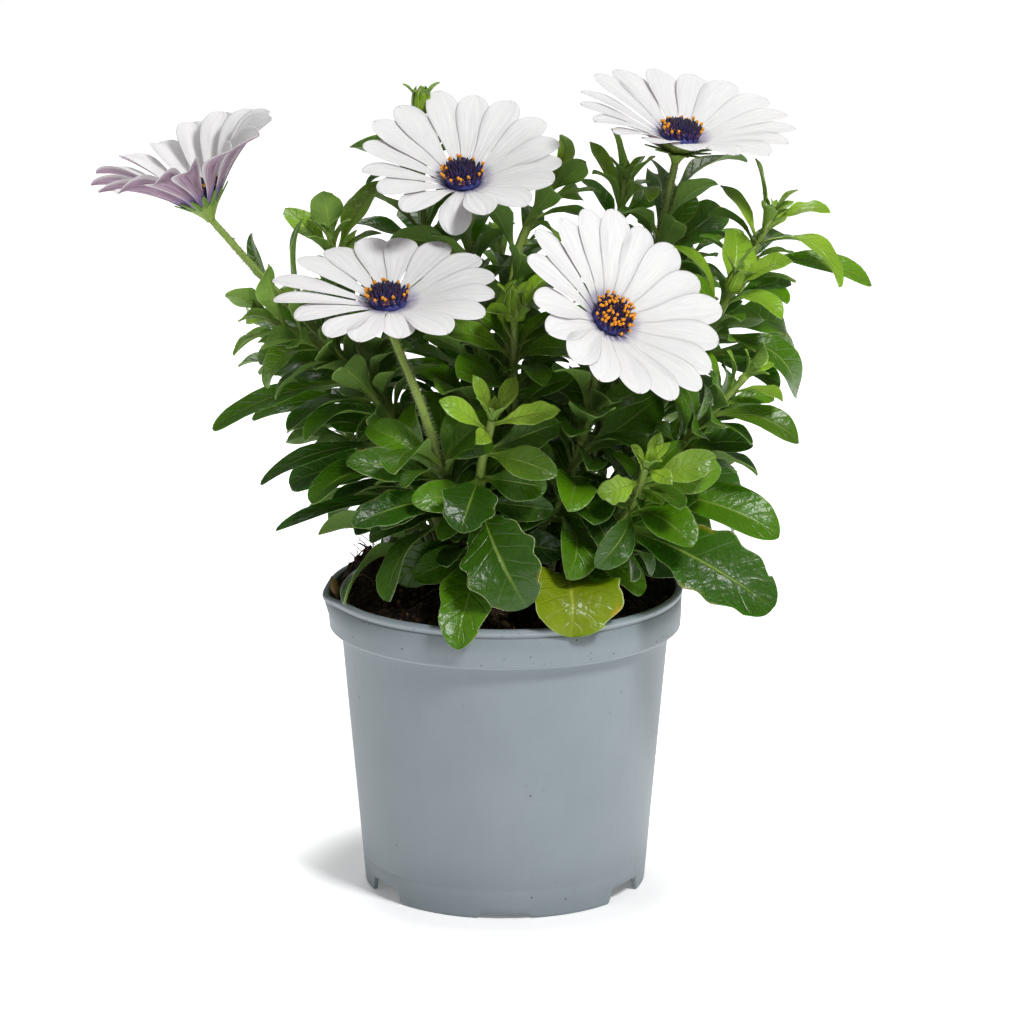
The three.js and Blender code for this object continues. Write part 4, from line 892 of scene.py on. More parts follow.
# -------------------- meshes
@dataclass
class Shell:
    """Gathers closed skins of rings into one mesh, with a UV map and two numbers for each point."""

    name: str
    points: list = field(default_factory=list)
    corners: list = field(default_factory=list)
    sizes: list = field(default_factory=list)
    uvs: list = field(default_factory=list)
    slots: list = field(default_factory=list)
    tones: list = field(default_factory=list)
    youngs: list = field(default_factory=list)
    count: int = 0

    def add(
        self, rings: np.ndarray, u: np.ndarray, v: np.ndarray, slot: int = 0,
        tone: Numbers = 0.5, young: Numbers = 0.0,
    ) -> None:
        """Adds closed skins: each joins its rings, turned by the right-hand rule about the way they follow.

        Args:
            rings: points, skins x rings x corners x 3.
            u: one value for each corner of a ring, and one more where the ring closes.
            v: one value for each ring.
            slot: the material's number.
            tone: shade of each skin, one number or one for each skin.
            young: youth of each skin, the same way.
        """
        n, r, k = rings.shape[:3]
        index = self.count + np.arange(n * r * k).reshape(n, r, k)
        after = np.roll(index, -1, axis=2)
        quads = np.stack([index[:, :-1], after[:, :-1], after[:, 1:], index[:, 1:]], axis=-1)
        across = np.stack([u[:-1], u[1:], u[1:], u[:-1]], axis=-1)[None]
        along = np.stack([v[:-1], v[:-1], v[1:], v[1:]], axis=-1)[:, None]
        uv = np.stack(np.broadcast_arrays(across, along), axis=-1)
        caps = np.stack([index[:, 0, ::-1], index[:, -1]], axis=1)
        ends = (u[:-1][::-1], v[0]), (u[:-1], v[-1])
        cap_uv = np.stack([np.stack([way, np.full(k, end)], -1) for way, end in ends])
        self.points.append(rings.reshape(-1, 3))
        self.corners += [quads.ravel(), caps.ravel()]
        self.sizes += [np.full(n * (r - 1) * k, 4), np.full(n * 2, k)]
        self.uvs += [np.broadcast_to(uv, (n, *uv.shape)).reshape(-1, 2),
                     np.broadcast_to(cap_uv, (n, *cap_uv.shape)).reshape(-1, 2)]
        self.slots.append(np.full(n * (r - 1) * k + n * 2, slot))
        for kept, value in ((self.tones, tone), (self.youngs, young)):
            value = np.broadcast_to(np.asarray(value, float).reshape(-1, 1), (n, r * k))
            kept.append(value.ravel())
        self.count += n * r * k

    def tubes(self, rings: np.ndarray, v: tuple = (0, 1), slot: int = 0, tone: Numbers = 0.5) -> None:
        """Adds tubes or turned bodies: U runs round them once, and V evenly along them between two values."""
        _, count, sides = rings.shape[:3]
        self.add(rings, np.arange(sides + 1) / sides, np.linspace(*v, count), slot, tone)

    def blade(self, rings: np.ndarray, t: np.ndarray, v: np.ndarray, tone: float, young: float) -> None:
        """Adds a blade: U runs over its upper face and back below, by its columns, and V along it."""
        self.add(rings, blade_u(t[0]), v.ravel(), 0, tone, young)

    def mesh(self, materials: list) -> bpy.types.Object:
        """Makes the object, with its materials in the order of their numbers."""
        corners, sizes = np.concatenate(self.corners), np.concatenate(self.sizes)
        mesh = bpy.data.meshes.new(self.name)
        mesh.vertices.add(self.count)
        mesh.vertices.foreach_set("co", (np.concatenate(self.points) * MM).ravel())
        mesh.loops.add(len(corners))
        mesh.loops.foreach_set("vertex_index", corners.astype(np.int32))
        mesh.polygons.add(len(sizes))
        mesh.polygons.foreach_set("loop_start", (np.cumsum(sizes) - sizes).astype(np.int32))
        mesh.polygons.foreach_set("material_index", np.concatenate(self.slots).astype(np.int32))
        mesh.polygons.foreach_set("use_smooth", sizes == 4)
        mesh.update(calc_edges=True)
        mesh.uv_layers.new(name="surface").uv.foreach_set("vector", np.concatenate(self.uvs).ravel())
        for name, values in (("tone", self.tones), ("young", self.youngs)):
            mesh.attributes.new(name, "FLOAT", "POINT").data.foreach_set("value", np.concatenate(values))
        mesh.validate()
        for material in materials:
            mesh.materials.append(material)
        piece = bpy.data.objects.new(self.name, mesh)
        bpy.context.scene.collection.objects.link(piece)
        return piece

    def build(self, materials: list, slot: str, replaced: tuple = ()) -> bpy.types.Object:
        """Makes the object, hangs it from the root body and hides the nodes that it stands for.

        Args:
            materials: its materials, in the order of their numbers.
            slot: not used.
            replaced: names of the nodes that it stands for.

        Returns:
            The new object.
        """
        piece = self.mesh(materials)
        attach(piece, "root")
        if replaced:
            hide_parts(*replaced)
        log.info("%-28s %7d triangles", self.name, int(np.sum(np.concatenate(self.sizes) - 2)))
        return piece


def closed(top: np.ndarray, bottom: np.ndarray) -> np.ndarray:
    """One skin round a blade: each ring runs along its upper points and back along its lower ones."""
    return np.concatenate([top, bottom[:, -2:0:-1]], axis=1)[None]


def blade_rings(
    middle: np.ndarray, across: np.ndarray, face: np.ndarray,
    offset: np.ndarray, upper: np.ndarray, lower: np.ndarray,
) -> np.ndarray:
    """Rings round a thin blade: its upper face from left to right, then its lower face back.

    Args:
        middle: points of the middle line, rows x 3.
        across: unit vectors to the right, rows x 3.
        face: unit vectors that the upper face looks along, rows x 3.
        offset: distances to the right, rows x columns.
        upper: heights of the upper face, rows x columns.
        lower: heights of the lower face, rows x columns.

    Returns:
        One skin of rings, 1 x rows x corners x 3.
    """
    base = middle[:, None] + across[:, None] * offset[..., None]
    return closed(base + face[:, None] * upper[..., None], base + face[:, None] * lower[..., None])


def blade_u(t: np.ndarray) -> np.ndarray:
    """U round a blade: 0 to 1 on the upper face and 1 to 2 on the lower, so |2 fract(u) - 1| is |t|."""
    return np.concatenate([(t + 1) / 2, 1 + (1 - t[-2:0:-1]) / 2, [2.0]])


def columns(count: int) -> np.ndarray:
    """Places across a blade from -1 to 1, closer together at its edges."""
    return np.sin(np.pi / 2 * np.linspace(-1, 1, count))


def round_axis(axes: np.ndarray, angle: np.ndarray) -> np.ndarray:
    """Unit vectors square to the axes, at angles round them from the way nearest to +X."""
    zero = unit(EAST - axes * axes[..., :1])
    return zero * np.cos(angle) + np.cross(axes, zero) * np.sin(angle)


def tube_rings(centres: np.ndarray, axes: np.ndarray, radius: np.ndarray, sides: int) -> np.ndarray:
    """Rings of points round a line: centre + radius (cos a, sin a) in the plane square to the axis."""
    out = round_axis(axes[..., None, :], 2 * np.pi * np.arange(sides)[:, None] / sides)
    return centres[..., None, :] + out * radius[..., None, None]


def turned_rings(profile: np.ndarray, at: np.ndarray, axis: np.ndarray, sides: int) -> np.ndarray:
    """A profile of radius and height carried round an axis, as one skin."""
    centres = at + profile[:, 1:] * axis
    return tube_rings(centres, np.broadcast_to(axis, centres.shape), profile[:, 0], sides)[None]


# -------------------- shader maths
Value = "Socket | float | int | tuple"


class Socket:
    """A node's output. Arithmetic on it adds Math nodes."""

    def __init__(self, maker: "Maker", output: bpy.types.NodeSocket) -> None:
        """Keeps the output and the maker that its next nodes come from."""
        self.maker = maker
        self.output = output

    def math(self, operation: str, *values: Value) -> "Socket":
        """A Math node on this and other values."""
        return self.maker.node("ShaderNodeMath", {"operation": operation}, dict(enumerate((self, *values))))

    def __add__(self, other: Value) -> "Socket":
        """Sum."""
        return self.math("ADD", other)

    __radd__ = __add__

    def __sub__(self, other: Value) -> "Socket":
        """Difference."""
        return self.math("SUBTRACT", other)

    def __rsub__(self, other: Value) -> "Socket":
        """Difference the other way round: other - self."""
        return (self * -1) + other

    def __mul__(self, other: Value) -> "Socket":
        """Product."""
        return self.math("MULTIPLY", other)

    __rmul__ = __mul__

    def fract(self) -> "Socket":
        """What lies after the decimal point."""
        return self.math("FRACT")

    def abs(self) -> "Socket":
        """Size without its sign."""
        return self.math("ABSOLUTE")

    def sin(self) -> "Socket":
        """Sine of an angle in radians."""
        return self.math("SINE")

    def above(self, limit: float) -> "Socket":
        """1 where it is greater than a limit, and else 0."""
        return self.math("GREATER_THAN", limit)

    def step(self, low: float, high: float) -> "Socket":
        """Smooth step: 0 below low and 1 above high."""
        return self.maker.node("ShaderNodeMapRange", {"interpolation_type": "SMOOTHSTEP"},
                               {"Value": self, "From Min": low, "From Max": high})

    def band(self, at: float, width: float) -> "Socket":
        """1 at a value, which falls to 0 a width away on both sides."""
        return 1 - (self - at).abs().step(0, width)


class Maker:
    """Makes one material's nodes."""

    def __init__(self, name: str) -> None:
        """Starts an empty material."""
        self.material = bpy.data.materials.new(name)
        self.material.use_nodes = True
        self.tree = self.material.node_tree
        self.tree.nodes.clear()

    def node(self, kind: str, settings: dict, values: dict, output: int | str = 0) -> Socket:
        """Adds a node, sets it up, and links or fills its inputs.

        Args:
            kind: the node's type.
            settings: its properties, set first.
            values: sockets, numbers, colours or vectors, by the input's name or number.
            output: the name or number of the output that is wanted.

        Returns:
            That output.
        """
        made = self.tree.nodes.new(kind)
        for name, setting in settings.items():
            setattr(made, name, setting)
        for key, value in values.items():
            if isinstance(value, Socket):
                self.tree.links.new(value.output, made.inputs[key])
            else:
                made.inputs[key].default_value = value
        return Socket(self, made.outputs[output])

    def place(self) -> Socket:
        """Object coordinates in millimetres."""
        there = self.node("ShaderNodeTexCoord", {}, {}, "Object")
        return self.node("ShaderNodeVectorMath", {"operation": "SCALE"}, {0: there, "Scale": 1 / MM})

    def uv(self) -> tuple:
        """The two coordinates of the surface's own map."""
        there = self.node("ShaderNodeUVMap", {"uv_map": "surface"}, {})
        return tuple(self.node("ShaderNodeSeparateXYZ", {}, {0: there}, axis) for axis in (0, 1))

    def axis(self, place: Socket, number: int) -> Socket:
        """One coordinate of a place."""
        return self.node("ShaderNodeSeparateXYZ", {}, {0: place}, number)

    def number(self, name: str) -> Socket:
        """A number that the mesh holds for each point."""
        return self.node("ShaderNodeAttribute", {"attribute_name": name}, {}, "Fac")

    def vector(self, x: Value, y: Value, z: Value) -> Socket:
        """A vector of three values."""
        return self.node("ShaderNodeCombineXYZ", {}, {0: x, 1: y, 2: z})

    def stretched(self, place: Socket, x: float, y: float, z: float) -> Socket:
        """A place with each coordinate times a factor."""
        return self.node("ShaderNodeVectorMath", {"operation": "MULTIPLY"}, {0: place, 1: (x, y, z)})

    def noise(self, place: Socket, size: float, detail: float = 2, rough: float = 0.5) -> Socket:
        """Cloudy noise from 0 to 1 with patches of about a size in the place's unit."""
        return self.node("ShaderNodeTexNoise", {},
                         {"Vector": place, "Scale": 1 / size, "Detail": detail, "Roughness": rough})

    def cells(self, place: Socket, size: float) -> Socket:
        """Distance to the nearest of scattered seeds, which lie about a size apart."""
        return self.node("ShaderNodeTexVoronoi", {}, {"Vector": place, "Scale": 1 / size})

    def blend(self, share: Value, a: Value, b: Value, kind: str = "MIX") -> Socket:
        """A colour between two, or their product."""
        settings = {"data_type": "RGBA", "blend_type": kind, "clamp_factor": True}
        return self.node("ShaderNodeMix", settings, {0: share, 6: a, 7: b}, 2)

    def shaded(self, colour: Value, light: Socket) -> Socket:
        """A colour times a value."""
        grey = self.vector(light, light, light)
        return self.blend(1.0, colour, grey, "MULTIPLY")

    def bump(self, height: Socket, depth: float) -> Socket:
        """Normals from a height, whose unit stands for a depth in millimetres."""
        return self.node("ShaderNodeBump", {}, {"Height": height, "Strength": 1.0, "Distance": depth * MM})

    def finish(self, **values: Value) -> bpy.types.Material:
        """Feeds the surface shader and returns the material. Input names have _ for a space."""
        named = {name.replace("_", " "): value for name, value in values.items()}
        surface = self.node("ShaderNodeBsdfPrincipled", {}, named)
        output = self.tree.nodes.new("ShaderNodeOutputMaterial")
        self.tree.links.new(surface.output, output.inputs["Surface"])
        return self.material


def colour(red: int, green: int, blue: int) -> tuple:
    """A colour of screen values 0 to 255 as linear light with full cover."""
    screen = np.array([red, green, blue]) / 255
    linear = np.where(screen <= 0.04045, screen / 12.92, ((screen + 0.055) / 1.055) ** 2.4)
    return (*linear.tolist(), 1.0)


def lit_through(weight: float, radius: tuple, scale: float) -> dict:
    """The surface shader's values for light that passes into a thin part, by colour."""
    return {"Subsurface_Weight": weight, "Subsurface_Radius": radius, "Subsurface_Scale": scale}


# -------------------- finishes
@dataclass(frozen=True)
class LeafFinish:
    """A leaf: green blade with pale veins above, grey-green below, with a thin pale hairy edge."""

    name: str = "leaf"
    dark: tuple = colour(26, 58, 3)
    bright: tuple = colour(88, 134, 6)
    fresh: tuple = colour(148, 182, 52)
    below: tuple = colour(104, 134, 60)
    rib: tuple = colour(146, 172, 72)
    edge: tuple = colour(208, 218, 160)
    worn: tuple = colour(170, 128, 30)
    wear: float = 0.25  # how much of the edge is worn

    def material(self) -> bpy.types.Material:
        """Colours by tone and youth, veins that leave the midrib forward, and blisters between them."""
        m = Maker(self.name)
        place, (u, v) = m.place(), m.uv()
        off = (u.fract() * 2 - 1).abs()
        under = u.above(1.0)
        tone, young = m.number("tone"), m.number("young")
        cloud, grain = m.noise(place, 9, 3), m.noise(place, 1.1, 4, 0.6)
        beat = ((v * 8 - off * 1.5).fract() - 0.5).abs()
        vein = beat.step(0.40, 0.5) * off.step(0.02, 0.12) * (1 - off.step(0.75, 0.98))
        rib = (1 - off.step(0.0, 0.075)) * (1 - v.step(0.6, 1.0) * 0.85)
        net = m.cells(place, 1.5)

        # painted light: tone runs from dark to bright green, and its share that comes from the leaf's height
        # stands in for light on upper leaves and shade on lower ones
        green = m.blend(tone, self.dark, self.bright)
        green = m.blend(young * (1 - v.step(0.35, 0.95) * 0.5), green, self.fresh)
        green = m.shaded(green, 0.72 + cloud * 0.36 + grain * 0.2)
        green = m.blend(vein * 0.05, green, self.rib)
        green = m.blend(under * 0.8, green, self.below)
        green = m.blend(rib * (0.5 + under * 0.2), green, self.rib)
        green = m.blend((1 - v.step(0.04, 0.3)) * 0.55, green, self.rib)
        frayed = m.noise(place, 0.8, 2)
        green = m.blend(off.step(0.965, 0.995) * (0.3 + frayed.step(0.3, 0.62) * 0.35), green, self.edge)
        old = m.noise(place, 13, 2).step(0.60, 0.72) * off.step(0.8, 0.97) * (1 - young)
        green = m.blend(old * self.wear, green, self.worn)

        swell = m.noise(place, 2.6, 2)
        relief = vein * -0.4 + rib * -0.7 + net * 0.12 + grain * 0.12 + swell * 1.2
        normal = m.bump(relief * (1 - under * 1.7), 0.4)
        rough = 0.26 + grain * 0.14 + under * 0.3
        return m.finish(Base_Color=green, Roughness=rough, Normal=normal, Specular_IOR_Level=0.34,
                        **lit_through(0.12, (0.4, 1.0, 0.2), 0.002))


YELLOWED = LeafFinish(
    "old_leaf", dark=colour(104, 122, 10), bright=colour(150, 160, 18), fresh=colour(160, 164, 30),
    below=colour(134, 142, 46), rib=colour(176, 180, 70), wear=0.9,
)


@dataclass(frozen=True)
class StemFinish:
    """A green stem that is darker and browner at its foot, with pale hairs."""

    green: tuple = colour(122, 146, 60)
    foot: tuple = colour(92, 96, 48)
    hair: tuple = colour(206, 214, 170)

    def material(self) -> bpy.types.Material:
        """Colours along the stem, with lengthwise ribs. Tone 1 is hair and youth is fresh green."""
        m = Maker("stem")
        place, (u, v) = m.place(), m.uv()
        fibre = m.noise(m.stretched(place, 1, 1, 0.15), 0.7, 3)
        skin = m.blend(v.step(0.0, 0.35), self.foot, self.green)
        skin = m.shaded(skin, 0.8 + fibre * 0.4)
        skin = m.blend(m.number("tone").above(0.9), skin, self.hair)
        ridge = (u * 31.4).sin() * 0.5 + fibre
        return m.finish(Base_Color=skin, Roughness=0.55, Normal=m.bump(ridge, 0.15),
                        **lit_through(0.1, (0.6, 1.0, 0.3), 0.002))


@dataclass(frozen=True)
class RayFinish:
    """A white ray with faint furrows, purple at its base and mauve below."""

    white: tuple = colour(226, 225, 224)
    # the grey of the painted shade in the ray's fine furrows
    shade: tuple = colour(214, 211, 214)
    purple: tuple = colour(86, 70, 140)
    mauve: tuple = colour(88, 58, 82)
    pale: tuple = colour(152, 124, 146)
    brown: tuple = colour(120, 92, 70)

    def material(self) -> bpy.types.Material:
        """White above with streaks of painted shade along it and purple streaks near the head. Below, mauve
        stripes that fade at the edges.
        """
        m = Maker("ray")
        place, (u, v) = m.place(), m.uv()
        off = (u.fract() * 2 - 1).abs()
        under = u.above(1.0)
        streak = m.noise(m.vector(u * 16, v * 1.4, m.number("tone") * 9), 0.55, 3, 0.6)
        # painted shade: grey streaks along the ray stand in for the shade in its furrows
        white = m.blend(streak.step(0.35, 0.75) * 0.8, self.white, self.shade)
        base = (1 - v.step(0.0, 0.14)) * streak.step(0.35, 0.6)
        white = m.blend(base * 0.85, white, self.purple)
        below = m.blend(streak.step(0.3, 0.7), self.mauve, self.pale)
        below = m.blend(off.step(0.6, 0.98) * 0.5, below, self.white)
        below = m.blend((1 - v.step(0.0, 0.22)) * 0.6, below, self.purple)
        face = m.blend(under * m.number("young"), white, below)
        spots = m.noise(place, 0.9, 1).step(0.62, 0.72) * v.step(0.95, 1.0)
        face = m.blend(spots * 0.5, face, self.brown)
        furrow = (u * 25.1).sin() * 0.5 + streak * 0.5
        return m.finish(Base_Color=face, Roughness=0.62, Normal=m.bump(furrow, 0.10), Specular_IOR_Level=0.3,
                        **lit_through(0.3, (1.0, 0.9, 0.9), 0.003))


@dataclass(frozen=True)
class FloretFinish:
    """Blue-violet florets with dark tips, orange pollen and a purple floor between them."""

    violet: tuple = colour(56, 62, 132)
    plum: tuple = colour(88, 46, 90)
    dark: tuple = colour(12, 10, 18)
    pollen: tuple = colour(244, 172, 34)
    amber: tuple = colour(218, 128, 20)

    def material(self) -> bpy.types.Material:
        """V runs up a floret to its dark tip. Tone 1 is pollen."""
        m = Maker("floret")
        place, (_, v) = m.place(), m.uv()
        grain = m.noise(place, 0.35, 3)
        kind = m.number("tone")
        petal = m.blend(kind * 2, self.violet, self.plum)
        petal = m.blend(v.step(0.55, 0.88), petal, self.dark)
        petal = m.shaded(petal, 0.6 + grain * 0.8)
        dust = m.blend(grain.step(0.35, 0.65), self.amber, self.pollen)
        return m.finish(Base_Color=m.blend(kind.above(0.9), petal, dust), Roughness=0.6,
                        Normal=m.bump(grain, 0.12))


@dataclass(frozen=True)
class PlasticFinish:
    """Matt grey-blue moulded plastic, with scuffs, dust near the soil, specks of dirt, and painted highlights
    and shadows at the band and the lip.
    """

    body: tuple = colour(118, 128, 134)
    pale: tuple = colour(146, 155, 160)
    # dirt in specks and smears, and also the colour of the painted shadow lines under the band and the lip
    dirt_and_shadow: tuple = colour(46, 36, 28)
    # painted highlights and shadows: level lines at the band's foot and at the lip, pale on their edges and
    # dark under them: height, half width, strength and colour
    lines: tuple = (
        (89.4, 0.5, 0.5, pale), (88.5, 0.6, 0.3, dirt_and_shadow), (100.0, 0.35, 0.55, dirt_and_shadow), (101.4, 0.6, 0.45, pale),
    )

    def material(self) -> bpy.types.Material:
        """Faint flow lines down the wall, scratches that run level, dirt that gathers in specks, and level
        lines of painted highlight and painted shadow at the band and the lip.
        """
        m = Maker("pot_plastic")
        place = m.place()
        height = m.axis(place, 2)
        flow = m.noise(m.stretched(place, 1, 1, 0.06), 3.0, 3)
        cloud = m.noise(place, 26, 3)
        scuff = m.noise(m.stretched(place, 1, 1, 9), 9, 4, 0.7).step(0.60, 0.76)
        skin = m.blend(cloud.step(0.3, 0.7) * 0.13 + flow * 0.13, self.body, self.pale)
        skin = m.blend(scuff * 0.22, skin, self.pale)
        # painted highlights and shadows: pale lines on the band's and lip's edges, dark lines under them
        for at, width, share, shade in self.lines:
            skin = m.blend(height.band(at, width) * share, skin, shade)
        speck = (1 - m.cells(place, 7).step(0.02, 0.075)) * m.noise(place, 17, 1).step(0.56, 0.62)
        skin = m.blend(speck * 0.85, skin, self.dirt_and_shadow)
        grit = (1 - m.cells(place, 2.4).step(0.09, 0.18)) * m.noise(place, 11, 2).step(0.5, 0.58)
        skin = m.blend(grit * height.step(84, 92) * 0.8, skin, self.dirt_and_shadow)
        smear = m.noise(place, 1.6, 5, 0.7).step(0.54, 0.68) * m.noise(place, 15, 1).step(0.58, 0.72)
        skin = m.blend(smear * (0.12 + height.step(93, 103) * 0.4), skin, self.dirt_and_shadow)
        fine = m.noise(place, 0.5, 2)
        normal = m.bump(fine * 0.5 + flow, 0.08)
        return m.finish(Base_Color=skin, Roughness=0.42 + cloud * 0.1 + scuff * 0.12 + smear * 0.2,
                        Normal=normal, Specular_IOR_Level=0.45)


@dataclass(frozen=True)
class PeatFinish:
    """Dark moist peat, or its crumbs, fibres and chips, paler as the tone rises."""

    name: str = "peat"
    dark: tuple = colour(20, 16, 13)
    brown: tuple = colour(50, 37, 27)
    straw: tuple = colour(168, 132, 92)

    def material(self) -> bpy.types.Material:
        """Brown clouds of several sizes over a rough grain."""
        m = Maker(self.name)
        place = m.place()
        clod, grain = m.noise(place, 4, 4, 0.65), m.noise(place, 0.6, 4, 0.7)
        earth = m.blend(clod.step(0.4, 0.7) * 0.7 + grain * 0.2, self.dark, self.brown)
        tone = m.number("tone")
        earth = m.blend(tone, earth, self.straw)
        earth = m.shaded(earth, 0.6 + grain * 0.8)
        return m.finish(Base_Color=earth, Roughness=0.93, Normal=m.bump(grain + clod, 0.5),
                        Specular_IOR_Level=0.2)


# -------------------- the plant's pieces
@dataclass
class LeafMaker:
    """Finished leaf blades. Sizes in millimetres."""

    rows: int = 26
    across: int = 11
    sunk: float = 0.04  # how far the stalk starts inside the stem, as a share of the length
    crowd: float = 1.6
    thick: float = 0.24
    groove: float = 0.3
    keel: float = 0.5
    blister: float = 0.1
    veins: float = 8.0
    wave: float = 0.035  # of the width

    def add(self, shell: Shell, leaf: Leaf, draw: Dice) -> None:
        """Adds a leaf: the plan's midrib, with waved and finely toothed edges and raised blisters.

        The upper face's height is fold + wave + blisters - groove, and the lower one's has a keel.
        """
        q = np.linspace(0, 1, self.rows + 8 * leaf.teeth)
        s = -self.sunk + (1 + self.sunk) * (1 - (1 - q) ** self.crowd)
        middle, _, face, side = leaf.frames(s)
        t = columns(self.across)[None]
        v = np.clip(s, 0, 1)[:, None]
        nicks = np.maximum(0, np.sin(2 * np.pi * (4.3 * v + draw() + 0.37 * np.sign(t)))) ** 3
        nicks = 1 + 0.035 * nicks * ease(v, 0.35, 0.5) * (1 - ease(v, 0.85, 0.95)) * np.abs(t)
        half = leaf.width / 2 * (1 - 0.22 * leaf.young) * leaf.spoon(v, True)
        reach = half * leaf.toothed(v, t, True) * nicks
        fold = math.radians(LEAF.fold)
        swell = ease(v, 0.08, 0.35)
        beat = v * self.veins - np.abs(t) * 1.5
        puffed = np.abs(np.sin(np.pi * beat)) ** 0.7 - 0.55
        ripple = np.sin(2 * np.pi * (2.1 * v + draw()) + 1.3 * np.sign(t)) * t**2
        curl = -0.10 * leaf.width * (np.maximum(v - 0.72, 0) / 0.28) ** 2 * draw()
        rise = reach * math.sin(fold) * np.abs(t) ** 1.3 + leaf.width * self.wave * ripple * swell + curl
        relief = self.blister * puffed * (1 - t**2) * swell * (1 - ease(v, 0.88, 1)) * min(1, leaf.width / 12)
        thick = self.thick * bulge(t)
        groove = self.groove * np.exp(-((t * reach / 0.8) ** 2)) * (1 - v)
        keel = self.keel * np.exp(-((t * reach / 0.75) ** 2)) * (1 - 0.75 * v)
        offset = t * reach * math.cos(fold)
        across = np.broadcast_to(side, middle.shape)
        upper, lower = rise + relief + thick - groove, rise + relief - thick - keel
        rings = blade_rings(middle, across, face, offset, upper, lower)
        # painted light: the tone is partly random, and it rises with the tip's height, so higher leaves are
        # painted lighter as if lit and lower ones darker as if shaded
        tone = min(1.0, 0.5 * float(ease(leaf.tip[2], 110, 230)) + 0.6 * draw() ** 1.4)
        shell.blade(rings, t, v, tone, leaf.young)


LEAVES, SMALL = LeafMaker(), LeafMaker(rows=15, across=9)


@dataclass
class Foliage:
    """One shoot: its stem with all its leaves, and the bud or the cup at its end."""

    number: int
    stem: Stem
    leaves: list
    rings: int = 40
    sides: int = 10
    hairs: int = 700
    hair_length: tuple = (0.7, 1.5)
    hair_radius: tuple = (0.09, 0.03)  # at its foot and its tip
    tuft: int = 6

    # radius and height of the cup under a bloom, from the head's plane
    CUP = (
        (0.02, -9.4), (1.5, -9.3), (1.8, -8.4), (2.6, -7.2), (3.6, -5.8), (4.9, -4.2), (5.6, -3), (5.8, -2.2),
    )

    def build(self, materials: list) -> None:
        """Makes the shoot's piece, which stands for its node."""
        shoot = self.stem.shoot
        shell = Shell(f"{shoot.name}_leafy")
        draw = Dice(500 + self.number)
        self._stem(shell)
        for leaf in self.leaves:
            (LEAVES if leaf.width > 11 else SMALL).add(shell, leaf, draw)
        if self.stem.bloom:
            self._cup(shell, self.stem.bloom, draw)
            self._hairs(shell)
        else:
            self._tuft(shell, draw)
        if shoot.bud:
            self._bud(shell, draw)
        shell.build(materials, "foliage", (shoot.name,))

    def _stem(self, shell: Shell) -> None:
        """The stem: rings round the plan's curve, a little ribbed."""
        shares = np.linspace(0, 1, self.rings)
        curve = self.stem.curve
        rings = tube_rings(curve.at(shares), curve.along(shares), self.stem.radius(shares), self.sides)
        shell.tubes(rings[None], slot=1, tone=0.3)

    def _hairs(self, shell: Shell) -> None:
        """Short hairs all round a flower's stalk, each a three-sided spike."""
        draw = np.random.default_rng(40 + self.number)
        shares = mix(0.45, 0.985, draw.random(self.hairs))
        curve = self.stem.curve
        axes = curve.along(shares)
        out = round_axis(axes, draw.random(self.hairs)[:, None] * 2 * np.pi)
        lean = unit(out + axes * (draw.random(self.hairs)[:, None] - 0.3) * 0.5)
        foot = curve.at(shares) + out * self.stem.radius(shares)[:, None] * 0.9
        length = mix(*self.hair_length, draw.random(self.hairs))[:, None]
        centres = np.stack([foot, foot + lean * length], axis=1)
        radius = np.broadcast_to(np.array(self.hair_radius), (self.hairs, 2))
        rings = tube_rings(centres, np.repeat(lean[:, None], 2, axis=1), radius, 3)
        shell.tubes(rings, (0.5, 1), 1, 1.0)

    def _tuft(self, shell: Shell, draw: Dice) -> None:
        """Small steep leaves that hide the shoot's tip."""
        axis = self.stem.curve.along(1.0)[0]
        root = self.stem.curve.at(0.985)[0]
        for i in range(self.tuft):
            out = turn_about(square_to(axis), axis, 40 + i * GOLDEN)
            opening = mix(34, 8, i / self.tuft) + 8 * draw()
            reach = mix(12, 6, i / self.tuft)
            tip = root + between(axis, out, opening) * reach
            SMALL.add(shell, Leaf(root, axis, tip, reach * 0.42, 0.1, young=1.0), draw)

    def _wrap(
        self, shell: Shell, at: np.ndarray, axis: np.ndarray, azimuth: float,
        heights: np.ndarray, radius: np.ndarray, half: np.ndarray,
    ) -> None:
        """A bract that lies round a turned body, with a radius and a half width for each height."""
        t = columns(7)[None]
        angle = math.radians(azimuth) + t * (half / np.maximum(radius, 0.5))[:, None]
        out = round_axis(axis, angle[..., None])
        centre = (at + heights[:, None] * axis)[:, None]
        thick = 0.2 * bulge(t)[..., None]
        around = radius[:, None, None]
        rings = closed(centre + out * (around + thick), centre + out * (around - thick))
        shell.blade(rings, t, np.linspace(0.25, 1, len(heights)), 0.5, 0.75)

    def _bud(self, shell: Shell, draw: Dice) -> None:
        """A closed bud: an egg-shaped body with pointed bracts round it, every other one a little inside."""
        size, curve = self.stem.shoot.bud, self.stem.curve
        at, axis = curve.at(1.0)[0], curve.along(1.0)[0]
        z = np.linspace(-1, 1.5, 14)
        body = size * np.sqrt(np.clip(1 - ((z - 0.1) / 1.42) ** 2, 0.0004, 1)) * 0.86
        profile = np.stack([body, z * size], axis=1)
        shell.tubes(turned_rings(profile, at, axis, 16), (0.3, 1), 1, 0.3)
        s = np.linspace(0, 1, 10)
        for i in range(12):
            heights = size * mix(-0.95, mix(1.1, 1.75, draw()), s)
            wide = size * 0.34 * np.sqrt(np.clip(1 - s**2.2, 0.002, 1))
            egg = np.sqrt(np.clip(1 - ((heights / size - 0.1) / 1.9) ** 2, 0.05, 1))
            self._wrap(shell, at, axis, i * GOLDEN, heights, size * egg * mix(0.9, 1.0, i % 2), wide)

